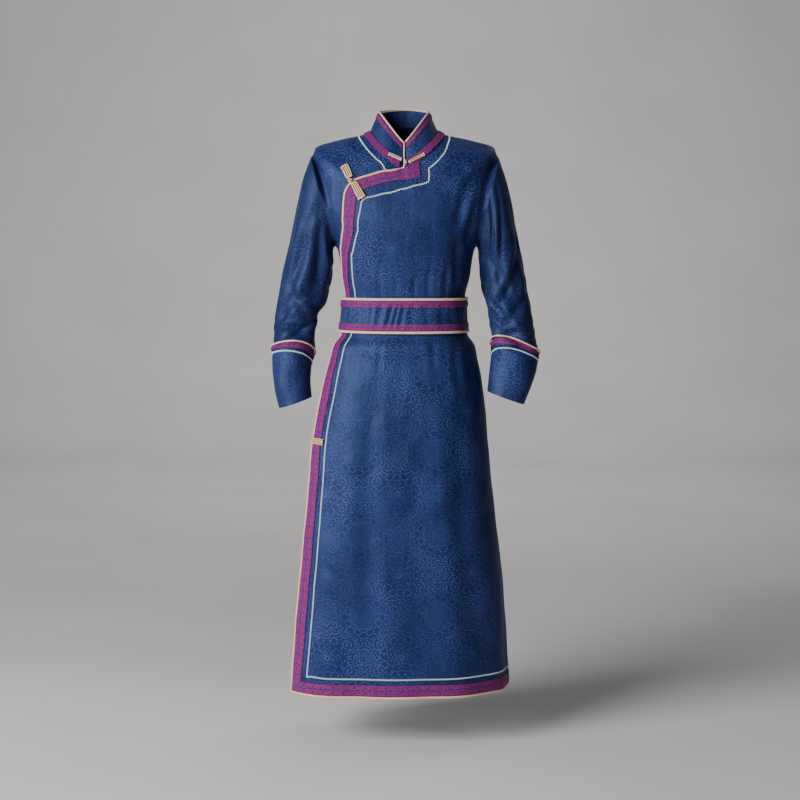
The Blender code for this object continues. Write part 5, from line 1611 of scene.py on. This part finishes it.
def front_rickrack_path():
    path = front_path()
    away = RICKRACK_FROM_EDGE + RICKRACK / 2
    below = clear_of_corner(path[:-1][path[:-1, 1] < ARMPIT - 0.02], away + RICKRACK / 2 + CORNER_ROOM)
    upper = spread(place_on_front(FRONT_RICKRACK[::-1]), 56)
    return np.concatenate([hem_end(path, beside(below, away), away), beside(upper, RICKRACK / 2)])


def back_hem():
    _, under, back = nets()
    reach = float(opening_at(HEM).turn) - UNDER_HEM_SHORT
    hem = np.concatenate([(under[0][under[0][:, 0] < reach] + (360, 0))[::-1], back[0][::-1]])
    hem[-1, 0] += HEM_TRIM_SHORT
    return hem


def level_path(hem, up):
    return np.stack([hem[:, 0], np.full(len(hem), HEM + up)], axis=-1)


def neck_path(row):
    return np.linspace((NECK_BRAID_FROM, row), (360 - NECK_BRAID_FROM, row), 60)


def neck_rickrack_path():
    front = place_on_front(NECK_RICKRACK, layer=plain_under) + (360, 0)
    round_back = [(turn, NECK_RICKRACK_ROW) for turn in range(268, 79, -14)]
    path = spread(np.concatenate([front, round_back]), 24)
    return np.concatenate([beside(path, RICKRACK / 2), front_rickrack_path()[-1:]])


def on_sleeve(side, down, around, out):
    """Points on a sleeve, and the directions outwards from them."""
    points = sleeve_point(side, down, around, out)
    return points, unit(sleeve_point(side, down, around, out + 0.01) - points)


def on_cuff(side):
    """Gives points of a cuff from turns round the arm, drops below the cuff line and out."""
    def points(around, drop, out):
        around = around if side == "right" else -around
        return sleeve_point(side, cuff_line(side, around, -drop), around, out)
    return points


# ------------------------------------------------------------ operators

class DEEL_OT_panels(bpy.types.Operator):
    """Cuts and hangs the overlap, the under front and the back"""
    bl_idname = "deel.panels"
    bl_label = "Body Panels"

    def execute(self, context):
        overlap, under, back = nets()
        for name, places, layer, shift in (("robe_front_overlap", overlap, on_over, -SEAM / 2),
                                           ("robe_front_under", under, on_under, -SEAM / 2),
                                           ("robe_back", back, on_under, SEAM / 2)):
            panel(name, places, layer, shift)
        return {"FINISHED"}


class DEEL_OT_sleeves(bpy.types.Operator):
    """Sets in both sleeves and sews on their cuffs"""
    bl_idname = "deel.sleeves"
    bl_label = "Sleeves and Cuffs"

    def execute(self, context):
        wall = context.scene.deel_cloth.wall
        for side in SLEEVES:
            around, seam, turned = armhole_net(side, 8)
            first = DOWNS[side][0]
            arm = sleeve_point(side, first, around)
            onward = (sleeve_point(side, first + 0.01, around) - arm) / 0.01
            reach = np.linalg.norm(arm - turned, axis=1, keepdims=True)
            t = np.linspace(0, 1, 16)[:, None, None]
            head = course(t, turned, unit(turned - seam) * reach, arm, unit(onward) * reach)
            share = np.linspace(0, 1, 65)[1:, None]
            downs = first + (cuff_line(side, around, -SEAM)[None] - first) * share
            rows = np.concatenate([seam[None], head, sleeve_point(side, downs, around[None])])
            share = np.linspace(0, 1, 33)[:, None]
            low = cuff_line(side, around, SEAM)[None] * (1 - share) + DOWNS[side][-1] * share
            cuff = sleeve_point(side, low, around[None])
            for name, net in ((f"robe_sleeve_{side}", rows), (f"robe_cuff_{side}", cuff)):
                net = np.roll(net[::-1], -net.shape[1] // 2, axis=1)
                net = net if side == "right" else np.roll(net[:, ::-1], 1, axis=1)
                # the sleeves take the darker copy of the satin: painted shade
                main_cloth(name, net, wall, ring=True, look="satin_sleeve" if "sleeve" in name else "satin")
        return {"FINISHED"}


class DEEL_OT_collar(bpy.types.Operator):
    """Stands the collar on the neckline, with its braid and piping"""
    bl_idname = "deel.collar"
    bl_label = "Collar"

    def execute(self, context):
        turns = np.linspace(COLLAR_FROM, 360 - COLLAR_FROM, 241)
        net = collar_point(turns[None], np.linspace(0, 1, 17)[:, None])
        main_cloth("robe_collar", net, context.scene.deel_cloth.wall)
        foot, top = collar_point(turns, 0), collar_point(turns, 1)
        tall = np.linalg.norm(top - foot, axis=-1)
        low, high = (np.maximum(0.5, 1 - away / tall)
                     for away in (COLLAR_EDGE_INSET + COLLAR_BRAID, COLLAR_EDGE_INSET))
        share = np.linspace(0, 1, TRIM_COLUMNS + 1)[:, None]
        outer = collar_point(turns[None], low + (high - low) * share, TRIM_LIFT + crown_at(share))
        woven_trim("trim_braid_collar", outer, share, "braid_narrow", map_width=BELT_BRAID)
        edge = collar_point(turns, 1, -HALFWAY)
        ahead = unit(np.gradient(edge, axis=0))
        over = unit(np.cross(unit(collar_point(turns, 1, 0.01) - top), ahead))
        over *= np.sign((over * (edge - foot)).sum(-1))[:, None]
        rim = edge + over * (FINE_CORD + 2 * SEAM)
        # from the rim the cord runs on down the slit
        slit = collar_point(0.0, np.array(COLLAR_SLIT), -HALFWAY)
        slit[:len(COLLAR_SLIT_RISE), 2] += COLLAR_SLIT_RISE
        centres = np.concatenate([rim[1:-3], slit])
        up = np.concatenate([over[1:-3], np.tile((1.0, 0.0, 0.0), (len(slit), 1))])
        sewn_cord("trim_piping_collar", centres, unit(up + 1e-6), FINE_CORD)
        return {"FINISHED"}


class DEEL_OT_belt(bpy.types.Operator):
    """Winds the belt, with its two braids and two pipings"""
    bl_idname = "deel.belt"
    bl_label = "Belt"

    def execute(self, context):
        turns = np.linspace(0, 360, 480, endpoint=False)
        rows = np.linspace(BELT_BOTTOM, BELT_TOP, 25)
        main_cloth("robe_belt", belt_point(turns[None], rows[:, None]), BELT_WALL * BELT_SHELL, ring=True)
        for label, low in BELT_BRAIDS:
            ring_trim(f"trim_braid_belt_{label}", belt_point, (low, low + BELT_BRAID), TRIM_LIFT)
        for label, row, away in (("top", BELT_TOP, 1), ("bottom", BELT_BOTTOM, -1)):
            centres = belt_point(turns[::2], row, BELT_CORD - BELT_WALL)
            centres[:, 2] += away * (BELT_CORD + SEAM)
            sewn_cord(f"trim_piping_belt_{label}", centres, outward(turns[::2], row), BELT_CORD, closed=True)
        return {"FINISHED"}


class DEEL_OT_trims(bpy.types.Operator):
    """Sews braid and piping on the free edges, the hems, the neckline and the cuffs"""
    bl_idname = "deel.trims"
    bl_label = "Braid and Piping"

    def execute(self, context):
        ribbon("trim_braid_front", front_braid_edges(), on_over, "braid_hem", corners=FRONT_CORNERS)
        edge_cord("trim_piping_front", front_path(), on_over, plain_over, corners=(FRONT_COLUMNS,))
        hem = back_hem()
        ribbon("trim_braid_back_hem", [level_path(hem, up) for up in (EDGE_INSET, BRAID)], on_under,
               "braid_hem")
        edge_cord("trim_piping_back_hem", hem, on_under, plain_under)
        ribbon("trim_braid_neck", [neck_path(row) for row in (NECK - NECK_BRAID_DROP, BRAID_ROW)], on_neck,
               "braid_narrow", out=NECK_TRIM_LIFT)
        around = np.linspace(0, 360, 160, endpoint=False)
        for side in SLEEVES:
            ring_trim(f"trim_braid_cuff_{side}", on_cuff(side), CUFF_BRAID_RISES, CUFF_TRIM_LIFT)
            rim = on_sleeve(side, cuff_line(side, around), around, FINE_CORD + CUFF_TRIM_LIFT)
            sewn_cord(f"trim_piping_cuff_{side}", *rim, FINE_CORD, closed=True)
        return {"FINISHED"}


class DEEL_OT_rickrack(bpy.types.Operator):
    """Lays the narrow waved rickrack inside the braid"""
    bl_idname = "deel.rickrack"
    bl_label = "Rickrack"

    def execute(self, context):
        tree = waved_cord_tree()
        level = level_path(back_hem(), RICKRACK_FROM_EDGE + RICKRACK / 2)
        for name, path, layer, corners in (("front", front_rickrack_path(), on_over, FRONT_CORNERS),
                                           ("back_hem", level, on_under, ()),
                                           ("neck", neck_rickrack_path(), on_neck, ())):
            route = along_places(path, layer, RICKRACK_LIFT, corners=corners)
            rickrack(f"trim_rickrack_{name}", *route, tree)
        around = np.linspace(180, 540, 240)
        for side in SLEEVES:
            line = cuff_line(side, around, CUFF_RICKRACK_DROP + RICKRACK / 2)
            rickrack(f"trim_rickrack_cuff_{side}", *on_sleeve(side, line, around, RICKRACK_LIFT), tree)
        return {"FINISHED"}


def tab_points(tab, along, across, lift):
    """Points over a frog's tab: along and across it from -1 to 1."""
    angle = math.radians(tab.angle)
    reach = along * tab.length / 2
    aside = across * tab.width / 2
    seen = np.stack([tab.x + reach * math.cos(angle) + aside * math.sin(angle),
                     tab.z + reach * math.sin(angle) - aside * math.cos(angle)], axis=-1)
    plain, draped = LAYERS[tab.layer]
    places = place_on_front(seen, layer=plain)
    return draped(places[:, 0], places[:, 1], lift), outward(places[:, 0], places[:, 1])


def tab_route(tab):
    """Places over a tab, along and across it from -1 to 1, of a cord laid back and forth."""
    bend = tab.width / tab.cords / tab.length
    along, across = [], []
    for k in range(tab.cords):
        centre, way = (2 * k + 1) / tab.cords - 1, 1 if k % 2 == 0 else -1
        run = np.linspace(-1 + 2.2 * bend, 1 - 2.2 * bend, 9) * way
        along += list(run)
        across += [centre] * 9
        if k < tab.cords - 1:
            turn = np.linspace(0, math.pi, 7)[1:-1]
            along += list(run[-1] + np.sin(turn) * bend * way)
            across += list(centre + (1 - np.cos(turn)) / tab.cords)
    return np.array(along), np.array(across)


def build_tab(tab):
    """A frog's tab: one cord laid back and forth, a thin dark cord in each valley as painted shade, its ends
    bound.
    """
    cord = tab.width / tab.cords / 2

    def sew(label, along, across, lift, radius, look, whole=False, sides=8):
        """One cord of the tab; a wide tab is narrower at the end that meets its knot."""
        waist = TAB_WAIST if tab.cords > 2 else 0.0
        across = across * (1 - 0.10 * np.abs(along) ** 3) * (1 - waist * (along + 1) / 2)
        points, up = tab_points(tab, along, across, tab.lift + cord * lift)
        sewn_cord(f"dress_{tab.name}{label}", points, up, cord * radius, look, "frog", whole, sides=sides)

    along, across = tab_route(tab)
    look = "pale_cord" if tab.name == "frog_neck_right" else "gold_cord"
    sew("", along, across, np.full(len(along), 0.85), 0.86, look, whole=True, sides=10)
    # a thin near-black cord down each valley between the runs: painted shade
    for k in range(1, tab.cords):
        sew(f"_inlay_{k}", np.linspace(-0.88, 0.88, 12), np.full(12, 2 * k / tab.cords - 1),
            np.full(12, 1.38), 0.40, "deep_cord")
    across = np.linspace(-1.0, 1.0, 12)
    arch = 1.95 - 1.6 * np.abs(across) ** 6
    for k in range(4):
        place = (-0.82, 0.82)[k // 2] + (-1, 1)[k % 2] * 0.55 * cord / tab.length
        sew(f"_binding_{k}", np.full(12, place), across, arch, 0.34, "pale_cord")


def knot_path(centre, radius, leads, bights):
    """A ball knot's single cord, laid over and under itself."""
    t = np.linspace(0, 2 * math.pi, 40 * bights, endpoint=False)
    high = 0.95 * np.sin(bights * t)
    weave = 1 + 0.10 * np.sin(2 * bights * t + 0.6)
    flat = np.cos(high) * weave
    ball = np.stack([flat * np.cos(leads * t), -flat * np.sin(leads * t), np.sin(high) * weave], axis=-1)
    return centre + radius * ball, unit(ball)


class DEEL_OT_frogs(bpy.types.Operator):
    """Ties the frogs: their tabs of laid cord and the ball knots between them"""
    bl_idname = "deel.frogs"
    bl_label = "Frogs"

    def execute(self, context):
        for tab in TABS:
            build_tab(tab)
        for knot in KNOTS:
            plain, draped = LAYERS[knot.layer]
            place = place_on_front([(knot.x, knot.z)], layer=plain)
            centre = draped(place[:, 0], place[:, 1], np.array([knot.stand_off]))[0]
            path, up = knot_path(centre, knot.radius * 0.74, 3, 4)
            sewn_cord(f"dress_{knot.name}", path, up, knot.radius * 0.27, "gold_cord", "frog",
                      whole=knot.name == "knot_chest", closed=True, sides=8)
            # A near-black ball inside the knot: painted shade that shows through the gaps between its loops
            mesh = bpy.data.meshes.new(f"dress_{knot.name}_core")
            ball = {"subdivisions": 3, "radius": knot.radius * 0.72, "matrix": Matrix.Translation(centre)}
            edit_mesh(mesh, lambda shape: bmesh.ops.create_icosphere(shape, **ball))
            mesh.shade_smooth()
            shade_ball = placed(mesh.name, mesh)
            dress(object_cut(shade_ball), finish_named("knot_shade"))
        return {"FINISHED"}


class DEEL_OT_stitching(bpy.types.Operator):
    """Topstitches both edges of the front, back hem, neck and belt braids, and the cuffs' hems"""
    bl_idname = "deel.stitching"
    bl_label = "Topstitching"

    def execute(self, context):
        tree = stitch_tree()
        edges = front_braid_edges()
        crest = STITCH_CREST * TRIM_WALL
        around = np.linspace(0, 360, 361)
        for k, share in enumerate(STITCH_ROWS):
            front = edges[0][:-1] * (1 - share) + edges[2][:-1] * share
            hem = level_path(back_hem(), EDGE_INSET + (BRAID - EDGE_INSET) * share)
            neck = neck_path(NECK - NECK_BRAID_DROP + (BRAID_ROW - NECK + NECK_BRAID_DROP) * share)
            rows = {"front": along_places(front, on_over, TRIM_LIFT + crest, corners=FRONT_CORNERS)[0],
                    "back_hem": along_places(hem, on_under, TRIM_LIFT + crest)[0],
                    "neck": along_places(neck, on_neck, NECK_TRIM_LIFT + crest, 4)[0]}
            for label, low in BELT_BRAIDS:
                rows[f"belt_{label}"] = belt_point(around, low + BELT_BRAID * share, TRIM_LIFT + crest)
            for label, points in rows.items():
                stitches(f"stitch_{label}_{k}", points, tree, "braid_thread")
        around = np.linspace(180, 540, 200)
        for side in SLEEVES:
            points = sleeve_point(side, DOWNS[side][-1] - CUFF_HEM, around, CUFF_HEM_LIFT)
            stitches(f"stitch_cuff_hem_{side}", points, tree, "thread")
        return {"FINISHED"}


class DEEL_OT_cloth_sizes(bpy.types.Operator):
    """Works out the smaller of each main piece's flat area and its width times length, and keeps none of it
    """
    bl_idname = "deel.cloth_sizes"
    bl_label = "Cloth Sizes"

    def execute(self, context):
        for name, (piece, size, area) in SHEETS.items():
            min(area, size[0] * size[1])
        return {"FINISHED"}


class DEEL_OT_stage(bpy.types.Operator):
    """Sets the pale floor, the soft light and the camera"""
    bl_idname = "deel.stage"
    bl_label = "Stage"

    def execute(self, context):
        profile = [(FLOOR_NEAR, FLOOR), (FLOOR_FAR, FLOOR)]
        profile += [(FLOOR_FAR + BEND * math.sin(a), FLOOR + BEND * (1 - math.cos(a)))
                    for a in np.radians(np.linspace(6, 90, 15))]
        profile.append((FLOOR_FAR + BEND, WALL_TOP))
        points = [(x, y, z) for y, z in profile for x in (-HALF_ROOM, HALF_ROOM)]
        faces = [(2 * k, 2 * k + 1, 2 * k + 3, 2 * k + 2) for k in range(len(profile) - 1)]
        backdrop = make_mesh("stage_floor", points, faces)
        material, tree, shader = new_finish("stage_paper", Roughness=0.9, Specular_IOR_Level=0.1)
        place = tree.nodes.new("ShaderNodeTexCoord")
        tone = cloudy(tree, place.outputs["Object"], 1.5, 2.0)
        tree.links.new(blend_colours(tree, tone, *PAPER), shader.inputs["Base Color"])
        backdrop.data.materials.append(material)
        world = context.scene.world or bpy.data.worlds.new("Room")
        context.scene.world = world
        world.use_nodes = True
        back = world.node_tree.nodes["Background"]
        back.inputs[0].default_value, back.inputs[1].default_value = ROOM_LIGHT
        for name, spot, aim, size, power, spread, colour in LIGHTS:
            light = bpy.data.lights.new(name, "AREA")
            light.shape, light.size, light.energy, light.color = "DISK", size, power, colour
            light.spread = math.radians(spread)
            lamp = placed(name, light)
            lamp.location = spot
            lamp.rotation_euler = (Vector(aim) - Vector(spot)).to_track_quat("-Z", "Y").to_euler()
        view = bpy.data.cameras.new("view")
        view.lens, view.sensor_width = CAMERA_LENS, CAMERA_SENSOR
        camera = placed("view", view)
        camera.location = CAMERA_AT
        camera.rotation_euler = (math.radians(90 - CAMERA_DOWN), 0, 0)
        context.scene.camera = camera
        return {"FINISHED"}


# The paper floor runs back into the wall on a round bend
FLOOR, FLOOR_NEAR, FLOOR_FAR, BEND, WALL_TOP, HALF_ROOM = -1.43, -7.0, 5.6, 2.0, 7.0, 10.0
PAPER = (0.68, 0.665, 0.66), (0.83, 0.813, 0.808)
ROOM_LIGHT = (0.80, 0.82, 0.86, 1), 0.12
CAMERA_AT, CAMERA_DOWN, CAMERA_LENS, CAMERA_SENSOR = (-0.0095, -4.5, -0.244), 4.8, 85.4, 36.0
LIGHTS = (
    # name, place, aim, size, power, spread in degrees, colour
    ("key", (-3.15, -3.05, 0.80), (0.0, 0.0, -0.6), 3.0, 350.0, 180, (1.0, 0.985, 0.96)),
    ("fill", (2.6, -3.2, 0.4), (0.0, 0.0, -0.6), 2.4, 3.0, 180, (0.92, 0.96, 1.0)),
    ("wall", (0.0, 3.4, 3.2), (0.0, 6.2, -1.4), 3.0, 44.0, 110, (1.0, 0.99, 0.98)),
    ("rim", (1.8, 1.6, 1.6), (0.0, 0.0, -0.4), 1.2, 8.0, 180, (1.0, 1.0, 1.0)),
)


class DEEL_PT_panel(bpy.types.Panel):
    """Sizes, colours and steps of the robe"""
    bl_idname = "DEEL_PT_panel"
    bl_label = "Deel Robe"
    bl_space_type = "VIEW_3D"
    bl_region_type = "UI"
    bl_category = "Deel"

    def draw(self, context):
        for group in (context.scene.deel_cloth, context.scene.deel_trims):
            for key in group.bl_rna.properties.keys():
                if key not in ("rna_type", "name"):
                    self.layout.prop(group, key)
        for step in STEPS_IN_ORDER:
            self.layout.operator(step.bl_idname)


STEPS_IN_ORDER = (DEEL_OT_stage, DEEL_OT_panels, DEEL_OT_sleeves, DEEL_OT_collar, DEEL_OT_belt,
                  DEEL_OT_trims, DEEL_OT_rickrack, DEEL_OT_frogs, DEEL_OT_stitching, DEEL_OT_cloth_sizes)
CLASSES = (DEEL_PG_cloth, DEEL_PG_trims) + STEPS_IN_ORDER + (DEEL_PT_panel,)


def register():
    for each in CLASSES:
        bpy.utils.register_class(each)
    bpy.types.Scene.deel_cloth = PointerProperty(type=DEEL_PG_cloth)
    bpy.types.Scene.deel_trims = PointerProperty(type=DEEL_PG_trims)


def unregister():
    del bpy.types.Scene.deel_trims
    del bpy.types.Scene.deel_cloth
    for each in reversed(CLASSES):
        bpy.utils.unregister_class(each)


def main():
    register()
    for step in STEPS_IN_ORDER:
        group, name = step.bl_idname.split(".")
        getattr(getattr(bpy.ops, group), name)()


if __name__ == "__main__":
    main()
